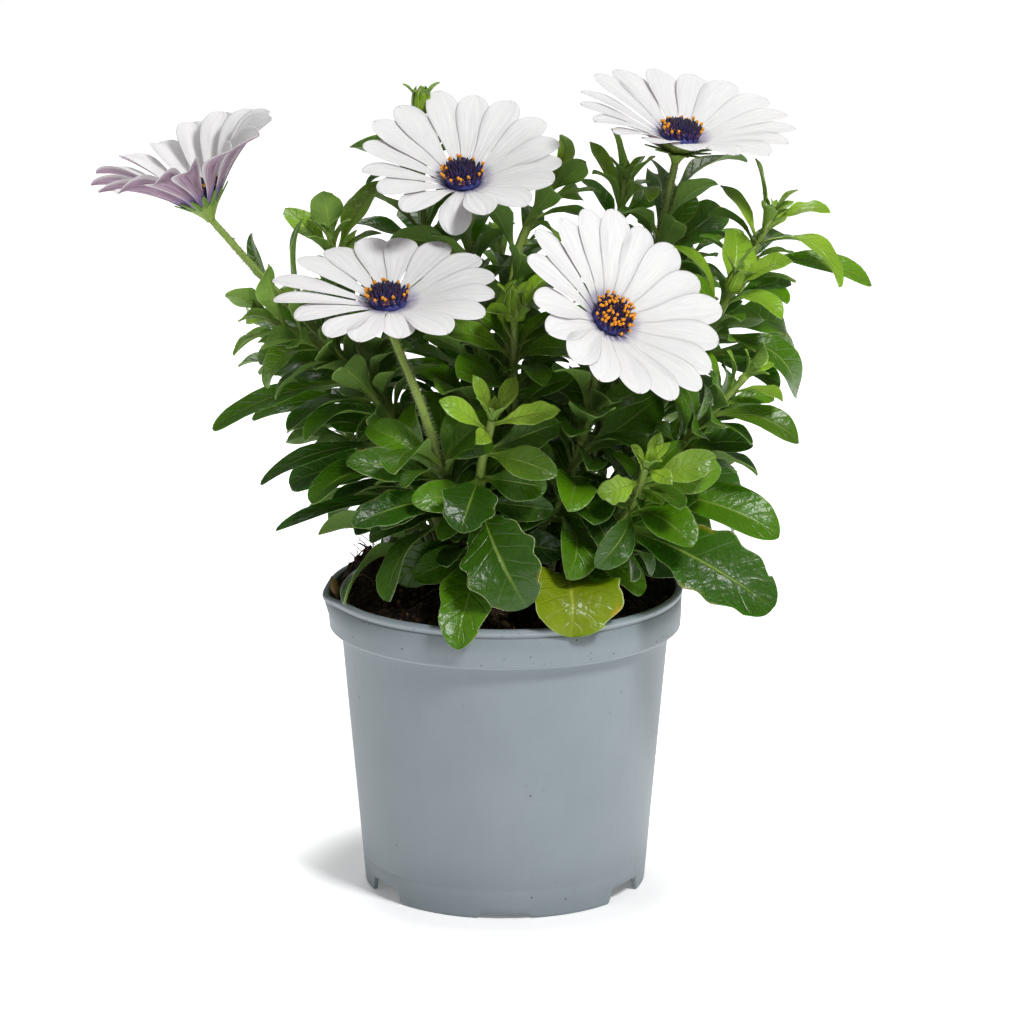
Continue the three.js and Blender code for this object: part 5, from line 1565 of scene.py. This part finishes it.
    def _cup(self, shell: Shell, bloom: Bloom, draw: Dice) -> None:
        """The green cup under a bloom, and its pointed bracts."""
        top = RAY.hub_foot - GAP
        profile = np.array([*self.CUP, (5.7, top), (0.02, top)])
        shell.tubes(turned_rings(profile, bloom.middle, bloom.axis, 24), (0.4, 1), 1, 0.3)
        s, t = np.linspace(0, 1, 12), columns(5)[None]
        for i in range(2 * BRACT.count):
            rise = bloom.rise - BRACT.drop + 2 * (i % 2)
            reach, width = BRACT.reach * mix(0.86, 1, draw()), BRACT.width * 0.8
            form = RayForm(180 * i / BRACT.count, BRACT.start, BRACT.lower, reach, width, rise, 0, 0)
            middle, _, face, across = form.frames(bloom, s)
            half = (form.width / 2 * np.sqrt(np.clip(1 - s**1.8, 0.003, 1)))[:, None]
            thick = 0.25 * bulge(t)
            rise = 0.25 * half * t**2
            rings = blade_rings(middle, across, face, t * half, rise + thick, rise - thick)
            shell.blade(rings, t, mix(0.3, 1, s), 0.4, 0.35)


# by bloom, a ray that hangs: its azimuth, its bend and the share of its reach
LIMP_RAYS = {"top": (255, -34, 0.78), "left": (288, -12, 0.72)}


@dataclass
class RayWheel:
    """The white rays of one bloom."""

    bloom: Bloom
    forms: list
    mauve: float = 0.95
    wider: float = 1.06  # than the plan's ray
    cupped: float = RAY.cupped
    rows: int = 22
    across: int = 11
    inner: float = 0.1  # how far a ray starts inside the head, as a share of its length
    thick: float = 0.2
    furrow: float = 0.13

    def build(self, materials: list) -> None:
        """Makes the rays' piece, which stands for their node."""
        shell = Shell(f"bloom_{self.bloom.name}_white_rays")
        draw = Dice(700 + self.bloom.rays + len(self.bloom.name))
        azimuth, bend, short = LIMP_RAYS.get(self.bloom.name, (-360, 0, 1))
        for form in self.forms:
            if abs(form.azimuth - azimuth) < 180 / len(self.forms):
                form = replace(form, bend=bend, roll=0, reach=form.reach * short)
            self._ray(shell, form, draw)
        shell.build(materials, "rays", (f"bloom_{self.bloom.name}_rays",))

    def _ray(self, shell: Shell, form: RayForm, draw: Dice) -> None:
        """One ray: cupped, with furrows along it and a slightly notched tip."""
        q = np.linspace(0, 1, self.rows)
        s = -self.inner + (1 + self.inner) * (1 - (1 - q) ** 1.7)
        middle, forward, face, across = form.frames(self.bloom, s)
        t = columns(self.across)[None]
        v = np.clip(s, 0, 1)[:, None]
        half = form.width / 2 * self.wider * form.petal(v, True)
        deep = 0.7 + 0.9 * draw()
        furrow = self.furrow * deep * np.cos(3 * np.pi * t) * ease(v, 0.0, 0.25) * (1 - 0.5 * v)
        twist = mix(-0.10, 0.10, draw()) * v
        droop = -mix(0.0, 1.6, draw()) * np.maximum(v - 0.6, 0) ** 2 / 0.16
        cup = self.cupped * half * np.abs(t) ** 1.5 + twist * half * t + droop
        notches = np.exp(-(((t - 0.1) / 0.22) ** 2)) + 0.5 * np.exp(-(((t + 0.45) / 0.2) ** 2))
        notch = mix(0.3, 1.1, draw()) * notches
        thick = self.thick * bulge(t)
        rings = blade_rings(middle, across, face, t * half, cup + furrow + thick, cup + furrow - thick)
        back = -(notch * ease(v, 0.75, 1.0))[..., None] * forward[:, None]
        rings += closed(back, back)
        shell.blade(rings, t, v, draw(), self.mauve)


@dataclass
class FlowerHead:
    """The disc of florets in the middle of one bloom."""

    bloom: Bloom
    ripe: float  # share of the florets that carry pollen, from the rim inwards
    florets: int = 110
    sides: int = 6
    grains: int = 60

    # radius and height of the dome, a closed floret, a ripe one's column, and a grain of pollen
    DOME = np.array([
        [0.02, -1], [5.9, -1], [6.2, -0.2], [5.9, 0.7], [5.2, 1.4], [3.8, 2.3], [2, 2.8], [0.02, 2.9],
    ])
    CLOSED = np.array([[0.36, 0], [0.38, 0.5], [0.5, 1.2], [0.48, 1.9], [0.3, 2.6], [0.05, 3.0]])
    COLUMN = np.array([[0.16, 1.6], [0.2, 2.4], [0.42, 2.7], [0.52, 3.05], [0.38, 3.4], [0.04, 3.6]])
    GRAIN = np.array([[0.04, -0.17], [0.17, -0.07], [0.17, 0.08], [0.04, 0.18]])

    def build(self, materials: list) -> None:
        """Makes the head's piece, which stands for its node."""
        shell = Shell(f"bloom_{self.bloom.name}_florets")
        self._floor(shell)
        self._florets(shell)
        shell.build(materials, "florets", (f"bloom_{self.bloom.name}_head",))

    def _floor(self, shell: Shell) -> None:
        """The low dome that the florets and rays stand on."""
        shell.tubes(turned_rings(self.DOME, self.bloom.middle, self.bloom.axis, 32), (0.2, 0.6), 0, 0.0)

    def _florets(self, shell: Shell) -> None:
        """Florets a golden angle apart: closed and pointed inside, open with pollen at the rim."""
        draw = np.random.default_rng(60 + self.bloom.rays)
        rank = (np.arange(self.florets) + 0.5) / self.florets
        share = np.sqrt(rank)
        out = round_axis(self.bloom.axis, np.radians(np.arange(self.florets) * GOLDEN)[:, None])
        lift = HEAD.base + HEAD.rise * (1 - share**2) - 0.6
        foot = self.bloom.middle + out * (share * HEAD.radius)[:, None] + self.bloom.axis * lift[:, None]
        jitter = draw.normal(0, 0.12, (self.florets, 3))
        way = unit(self.bloom.axis + out * (0.4 * share**2)[:, None] + jitter)
        size = mix(1.0, 1.25, draw.random(self.florets)) * mix(0.8, 1.1, share)
        self._spindles(shell, self.CLOSED, foot, way, size, 0.5 * draw.random(self.florets))
        ripe = (rank > 1 - self.ripe) & (draw.random(self.florets) < 0.75)
        self._spindles(shell, self.COLUMN, foot[ripe] + jitter[ripe] * 2, way[ripe], size[ripe], 1.0)
        pick = draw.choice(np.flatnonzero(ripe), self.grains)
        there = foot[pick] + way[pick] * 2.6 + draw.normal(0, 0.55, (self.grains, 3))
        self._spindles(shell, self.GRAIN, there, way[pick], np.full(self.grains, 1.0), 1.0)

    def _spindles(
        self, shell: Shell, profile: np.ndarray, foot: np.ndarray, way: np.ndarray,
        size: np.ndarray, tone: Numbers,
    ) -> None:
        """Turned bodies with one profile at many feet."""
        heights = profile[:, 1] * size[:, None]
        centres = foot[:, None] + way[:, None] * heights[..., None]
        radius = np.broadcast_to(profile[:, 0], heights.shape) * np.minimum(size, 1.1)[:, None]
        rings = tube_rings(centres, np.repeat(way[:, None], len(profile), axis=1), radius, self.sides)
        shell.tubes(rings, tone=tone)


@dataclass
class FallenLeaf:
    """The old yellow leaf that hangs over the soil."""

    leaf: Leaf
    ground: float

    def build(self, materials: list) -> None:
        """Makes its piece: the blade and its stalk."""
        shell = Shell("old_yellow_leaf")
        x, y = OLD_LEAF.foot
        heights = np.linspace(GAP - SOIL.hole_depth, OLD_LEAF.height + 1, 8)
        centres = np.stack([np.full(8, x), np.full(8, y), self.ground + heights], axis=1)
        radius = np.full(8, OLD_LEAF.stalk)
        rings = tube_rings(centres, np.tile(UP, (8, 1)), radius, 10)
        shell.tubes(rings[None], (0.5, 1), 1, 0.3)
        LeafMaker(rows=40, across=15, wave=0.05).add(shell, self.leaf, Dice(900))
        shell.build(materials, "old_leaf", ("yellow_leaf",))


# -------------------- pot and peat
@dataclass
class NurseryPot:
    """The thin-walled pot, turned from one profile, with notches in its foot and a bent lip."""

    sides: int = 480
    rim_turn: float = 190.0  # where the lip is bent outwards, in degrees from +X
    rim_bent: float = 2.0
    under: float = 5.3  # underside of the raised floor
    # azimuth from the front, half angle and height of each notch in the foot
    notches: tuple = (
        (-58, 11, 5.2), (58, 11, 5.2), (122, 11, 5.2), (238, 11, 5.2), (0, 12, 1.5), (180, 12, 1.5),
    )
    drain: tuple = (6, 4.0, 35.0)  # number of holes, their radius and their circle

    def profile(self) -> np.ndarray:
        """Radius and height from the foot's middle, up the outside, over the lip and down the inside."""
        pad, rim, wall, out = POT.pad_radius, POT.rim_radius, POT.wall, POT.outside
        foot, band, floor = POT.foot_radius, POT.band_foot, self.under
        turn = np.radians(np.linspace(0, 180, 9))
        lip = [(rim - 1.25 + 1.25 * math.cos(a), POT.height - 1.0 + 1.0 * math.sin(a)) for a in turn]
        levels = (1.4, 4, 7, 9.6, 9.9, 10.2, 10.6, 20, 35, 50, 65, 78, 84, band - 1.4)
        outer = [(out(z) - (0.14 if 9.8 < z < 10.3 else 0), z) for z in levels]
        return np.array([
            (0.02, 0), (pad, 0), (pad + 1.4, floor), (foot - wall - 0.6, floor),
            (foot - wall - 0.3, floor - 0.02), (foot - wall, 0.25), (foot - wall + 0.3, 0),
            (foot - 0.4, 0), (out(0.4), 0.4), *outer,
            (out(band) + 0.05, band - 0.5), (out(band) + 0.5, band), (rim - 1.4, band + 0.25),
            (rim - 0.75, band + 0.8), (rim - 0.7, band + 1.5), (rim - 0.5, band + 4.5),
            (rim - 0.35, band + 10.6), (rim - 0.75, band + 11.0), (rim - 0.7, band + 11.5),
            (rim - 0.1, band + 12.1), *lip,
            (rim - 2.55, POT.height - 3), (rim - 1.8 - wall, band + 3), (out(band) - wall, band - 1),
            (out(50) - wall, 50), (out(8) - wall, 8), (foot - wall - 0.4, floor + wall),
            (pad + 2.6, floor + wall), (pad + 1, wall), (0.02, wall),
        ])

    def notch_height(self, azimuth: np.ndarray) -> np.ndarray:
        """Height of the foot's edge round the pot: a flat-topped step at each notch."""
        height = np.zeros_like(azimuth)
        for middle, half, high in self.notches:
            away = np.abs((azimuth - (middle - 90) + 180) % 360 - 180)
            height = np.maximum(height, high * (1 - ease(away, half - 2.6, half + 0.4)))
        return height

    def build(self, materials: list) -> None:
        """Makes the pot's piece."""
        profile = self.profile()
        rings = turned_rings(profile, np.zeros(3), UP, self.sides)[0]
        azimuth = 360 * np.arange(self.sides) / self.sides
        foot = (profile[:, 0] > POT.foot_radius - POT.wall - 0.35) & (profile[:, 1] < self.under)
        edge = self.notch_height(azimuth)
        arch = np.minimum(edge, self.under - 0.05) + profile[foot, 1:] * 0.06
        rings[foot, :, 2] = np.maximum(rings[foot, :, 2], arch)
        away = np.abs((azimuth - self.rim_turn + 180) % 360 - 180)
        bent = self.rim_bent * np.exp(-((away / 9) ** 2)) * ease(rings[..., 2], POT.band_foot + 4, POT.height)
        rings[..., :2] *= 1 + bent[..., None] / POT.rim_radius
        rings[..., 2] -= bent * 0.5
        shell = Shell("nursery_pot")
        shell.tubes(rings[None])
        pot = shell.build(materials, "pot", ("pot",))
        self._drill(pot)

    def _drill(self, pot: bpy.types.Object) -> None:
        """Cuts the drain holes through the floor."""
        count, radius, circle = self.drain
        shell = Shell("drills")
        for i in range(count):
            angle = 2 * np.pi * (i + 0.5) / count
            at = np.array([circle * math.cos(angle), circle * math.sin(angle), 0.0])
            profile = np.array([[radius, 2.0], [radius, 12.0]])
            shell.tubes(turned_rings(profile, at, UP, 32))
        drills = shell.mesh([])
        cut = pot.modifiers.new("drains", "BOOLEAN")
        cut.operation, cut.solver, cut.object = "DIFFERENCE", "MANIFOLD", drills
        graph = bpy.context.evaluated_depsgraph_get()
        pot.data = bpy.data.meshes.new_from_object(pot.evaluated_get(graph))
        pot.modifiers.clear()
        bpy.data.objects.remove(drills, do_unlink=True)


@dataclass
class Peat:
    """The soil: a displaced surface, with crumbs, fibres, bark chips and root hairs on it."""

    rings: int = 84
    sides: int = 190
    crumbs: int = 3600
    fibres: int = 320
    chips: int = 40
    # place, height and width of each heap
    heaps: tuple = (((-46.0, 4.0), 9.0, 9.0), ((43.0, 18.0), 7.0, 12.0), ((-30.0, 36.0), 5.0, 10.0))
    crumb_size: tuple = (0.25, 1.5)
    chip_size: tuple = (1.0, 2.4)
    lip_chip: tuple = ((-56.5, -10, 103.6), 3.6, 0.95)  # place, size and tone of the chip on the bent lip
    fibre_length: tuple = (5, 17)
    fibre_radius: tuple = (0.1, 0.3)

    def ground(self, x: np.ndarray, y: np.ndarray) -> np.ndarray:
        """The plan's surface with clods of two sizes on it."""
        there = np.stack([x, y, np.zeros_like(x)], axis=-1)
        fade = ease(POT.rim_radius - 3.3 - np.hypot(x, y), 0, 2)
        rough = 0.9 * noise(there, 5.5, 1) + 0.55 * noise(there, 2.4, 2) + 0.25 * noise(there, 1.2, 3)
        for (east, north), high, wide in self.heaps:
            rough = rough + high * np.exp(-((x - east) ** 2 + (y - north) ** 2) / wide**2)
        return soil_height(x, y) + rough * fade - 0.2

    def build(self, peat: bpy.types.Material, scraps: bpy.types.Material) -> None:
        """Makes the soil's piece and the pieces that lie on it."""
        self._surface().build([peat], "soil", ("soil",))
        self._scraps().build([scraps], "soil")

    def _surface(self) -> Shell:
        """The soil's body: a turned skin whose upper part follows the ground."""
        low = NurseryPot.under + POT.wall + GAP
        inside = lambda z: POT.outside(z) - POT.wall - GAP
        edge = POT.rim_radius - 1.8 - POT.wall - GAP - 0.4
        side = [(0.02, low), (inside(8) - 1, low), (inside(50), 50), (inside(86), 86), (edge, 94)]
        top = np.linspace(edge, 0.02, self.rings)
        profile = np.concatenate([side, np.stack([top, np.full(self.rings, SOIL.edge)], axis=1)])
        rings = turned_rings(profile, np.zeros(3), UP, self.sides)
        upper = rings[0, len(side):]
        upper[..., 2] = self.ground(upper[..., 0], upper[..., 1])
        shell = Shell("peat_bed")
        shell.tubes(rings, tone=0.0)
        return shell

    def _scraps(self) -> Shell:
        """Crumbs, chips and fibres, scattered over the ground."""
        draw = np.random.default_rng(7)
        shell = Shell("peat_scraps")
        self._crumbs(shell, draw)
        self._chips(shell, draw)
        self._fibres(shell, draw)
        return shell

    def _spots(self, draw: np.random.Generator, count: int) -> np.ndarray:
        """Places on the ground, a little more of them near the rim."""
        radius = (POT.rim_radius - 4.6) * np.sqrt(draw.random(count) ** 0.8)
        angle = draw.random(count) * 2 * np.pi
        x, y = radius * np.cos(angle), radius * np.sin(angle)
        return np.stack([x, y, self.ground(x, y)], axis=1)

    def _lumps(
        self, shell: Shell, draw: np.random.Generator, spots: np.ndarray, size: np.ndarray,
        squash: float, tone: Numbers,
    ) -> None:
        """Small uneven lumps: five-sided spindles, squashed and turned at random."""
        count = len(spots)
        way = unit(draw.normal(size=(count, 3)))
        profile = np.array([[0.35, -0.8], [0.95, -0.35], [0.9, 0.4], [0.3, 0.85]])
        heights = profile[:, 1] * squash * size[:, None]
        centres = spots[:, None] + way[:, None] * heights[..., None]
        radius = profile[:, 0] * size[:, None] * mix(0.75, 1.25, draw.random((count, 4)))
        rings = tube_rings(centres, np.repeat(way[:, None], 4, axis=1), radius, 5)
        rings += draw.normal(0, 0.09, rings.shape) * size[:, None, None, None]
        shell.tubes(rings, tone=tone)

    def _crumbs(self, shell: Shell, draw: np.random.Generator) -> None:
        """Crumbs of peat from 0.3 to 2 mm, and a few pale grains."""
        size = mix(*self.crumb_size, draw.random(self.crumbs) ** 3)
        tone = np.where(draw.random(self.crumbs) > 0.96, 0.4, 0.1 * draw.random(self.crumbs))
        self._lumps(shell, draw, self._spots(draw, self.crumbs), size, 0.8, tone)

    def _chips(self, shell: Shell, draw: np.random.Generator) -> None:
        """Flat chips of bark, and the large tan one on the bent lip."""
        spots = self._spots(draw, self.chips)
        size = mix(*self.chip_size, draw.random(self.chips))
        tone = mix(0.1, 0.55, draw.random(self.chips))
        spots[0], size[0], tone[0] = self.lip_chip
        self._lumps(shell, draw, spots + UP * 0.4, size, 0.35, tone)

    def _fibres(self, shell: Shell, draw: np.random.Generator) -> None:
        """Bent fibres and fine roots: a third of them stand up from the two large heaps."""
        count, rings = self.fibres, 7
        spots = self._spots(draw, count)
        near = np.where(draw.random(count) < 0.5, 0, 1)
        heap = np.array([place for place, _, _ in self.heaps])[near] + draw.normal(0, 5, (count, 2))
        raised = np.arange(count) < count // 3
        spots[raised, :2] = heap[raised]
        spots[:, 2] = self.ground(spots[:, 0], spots[:, 1])
        way = unit(draw.normal(size=(count, 3)) * np.array([1, 1, 0.25]))
        way[raised, 2] = np.abs(way[raised, 2]) + 0.5
        length = mix(*self.fibre_length, draw.random(count)) * np.where(raised, 0.6, 1.0)
        s = np.linspace(0, 1, rings)
        sway = unit(np.cross(way, draw.normal(size=(count, 3))))
        sway = sway * (length * mix(-0.3, 0.3, draw.random(count)))[:, None]
        centres = spots[:, None] + way[:, None] * (s * length[:, None])[..., None]
        centres = centres + sway[:, None] * (4 * s * (1 - s))[..., None]
        flat = ~raised
        centres[flat, :, 2] = self.ground(centres[flat, :, 0], centres[flat, :, 1]) + 0.25
        axes = unit(np.gradient(centres, axis=1))
        thick = mix(*self.fibre_radius, draw.random(count) ** 2)
        radius = np.repeat(thick[:, None], rings, axis=1) * (1 - 0.5 * s)
        inside = np.hypot(centres[..., 0], centres[..., 1]).max(axis=1) < POT.rim_radius - 4.2
        rings_of = tube_rings(centres[inside], axes[inside], radius[inside], 4)
        tone = mix(0.1, 0.6, draw.random(count)) * np.where(raised, 0.4, 1.0)
        shell.tubes(rings_of, tone=tone[inside])


# -------------------- studio
@dataclass
class Studio:
    """A pale floor, soft lamps and a camera. Distances in millimetres."""

    target: tuple = (2.4, 0.0, 127.7)
    distance: float = 1546.0
    elevation: float = 14.0
    half_view: float = 6.348  # degrees from the middle of the view to its edge
    floor_radius: float = 6000.0
    sky: float = 0.18
    # name, place, width and power in watts
    lamps: tuple = (
        ("key", (750, -1000, 1500), 380, 29),
        ("fill", (-1100, -700, 900), 700, 0.9),
        ("back", (-300, 1100, 1400), 700, 8),
    )

    def build(self) -> None:
        """Makes the floor, the lamps, the world's light and the camera."""
        self._floor()
        self._world()
        for name, at, size, power in self.lamps:
            self._lamp(name, at, size, power)
        self._camera()

    def _floor(self) -> None:
        """A wide white disc under the pot, which glows faintly next to it and strongly further out: painted
        light that washes out the lamps' shadows.
        """
        m = Maker("floor")
        place = m.place()
        tint = m.noise(place, 900, 1)
        x, y = m.axis(place, 0), m.axis(place, 1)
        # painted light: the glow is 0.15 near the pot and rises to 0.8 between about 55 and 84 mm out, which
        # washes out the lamps' shadows on the floor
        glow = m.blend((x * x + y * y).step(0.3e4, 0.7e4), (0.15, 0.15, 0.15, 1), (0.8, 0.8, 0.8, 1))
        paper = m.blend(tint, (0.93, 0.93, 0.93, 1), (0.96, 0.96, 0.965, 1))
        shell = Shell("floor")
        profile = np.array([[self.floor_radius, -2.0], [self.floor_radius, 0.0], [0.02, 0.0]])
        shell.tubes(turned_rings(profile, np.zeros(3), UP, 64))
        paint = m.finish(Base_Color=paper, Roughness=0.9, Emission_Color=glow, Emission_Strength=1.0)
        shell.mesh([paint])

    def _world(self) -> None:
        """An even white sky."""
        world = bpy.data.worlds.new("studio")
        world.use_nodes = True
        sky = world.node_tree.nodes["Background"]
        sky.inputs["Color"].default_value = (1.0, 1.0, 1.0, 1)
        sky.inputs["Strength"].default_value = self.sky
        bpy.context.scene.world = world
        bpy.context.scene.view_settings.view_transform = "Standard"

    def _lamp(self, name: str, at: tuple, size: float, power: float) -> None:
        """A square soft lamp that looks at the plant."""
        light = bpy.data.lights.new(name, "AREA")
        light.shape, light.size, light.energy = "SQUARE", size * MM, power
        lamp = bpy.data.objects.new(name, light)
        bpy.context.scene.collection.objects.link(lamp)
        self._aim(lamp, np.array(at, float))

    def _camera(self) -> None:
        """The camera: a long lens from a little above."""
        lens = bpy.data.cameras.new("camera")
        lens.lens = lens.sensor_width / 2 / math.tan(math.radians(self.half_view))
        lens.clip_end = 20
        camera = bpy.data.objects.new("camera", lens)
        bpy.context.scene.collection.objects.link(camera)
        angle = math.radians(self.elevation)
        way = np.array([0, -math.cos(angle), math.sin(angle)])
        self._aim(camera, np.array(self.target) + way * self.distance)
        bpy.context.scene.camera = camera

    def _aim(self, thing: bpy.types.Object, at: np.ndarray) -> None:
        """Puts a thing at a place and turns its -Z to the target."""
        thing.location = (at * MM).tolist()
        way = Vector((np.array(self.target) - at).tolist())
        thing.rotation_euler = way.to_track_quat("-Z", "Y").to_euler()


def main() -> None:
    """Builds the studio, the pot, the peat and the plant."""
    Studio().build()
    NurseryPot().build([PlasticFinish().material()])
    Peat().build(PeatFinish().material(), PeatFinish("peat_scraps", straw=colour(176, 140, 100)).material())
    plan = Plan()
    leaf, stem = LeafFinish().material(), StemFinish().material()
    for number, (growth, leaves) in enumerate(zip(plan.stems, plan.leaves)):
        Foliage(number, growth, leaves).build([leaf, stem])
    FallenLeaf(plan.old_leaf, plan.old_ground).build([YELLOWED.material(), stem])
    ray, floret = RayFinish().material(), FloretFinish().material()
    for bloom in BLOOMS:
        closed = bloom.rise > 40
        forms = [replace(form, roll=18 if closed else form.roll * 0.6) for form in plan.rays[bloom.name]]
        RayWheel(bloom, forms, cupped=0.5 if closed else RAY.cupped).build([ray])
        FlowerHead(bloom, 0.9 if bloom.name == "front" else 0.2).build([floret])


if __name__ == "__main__":
    main()
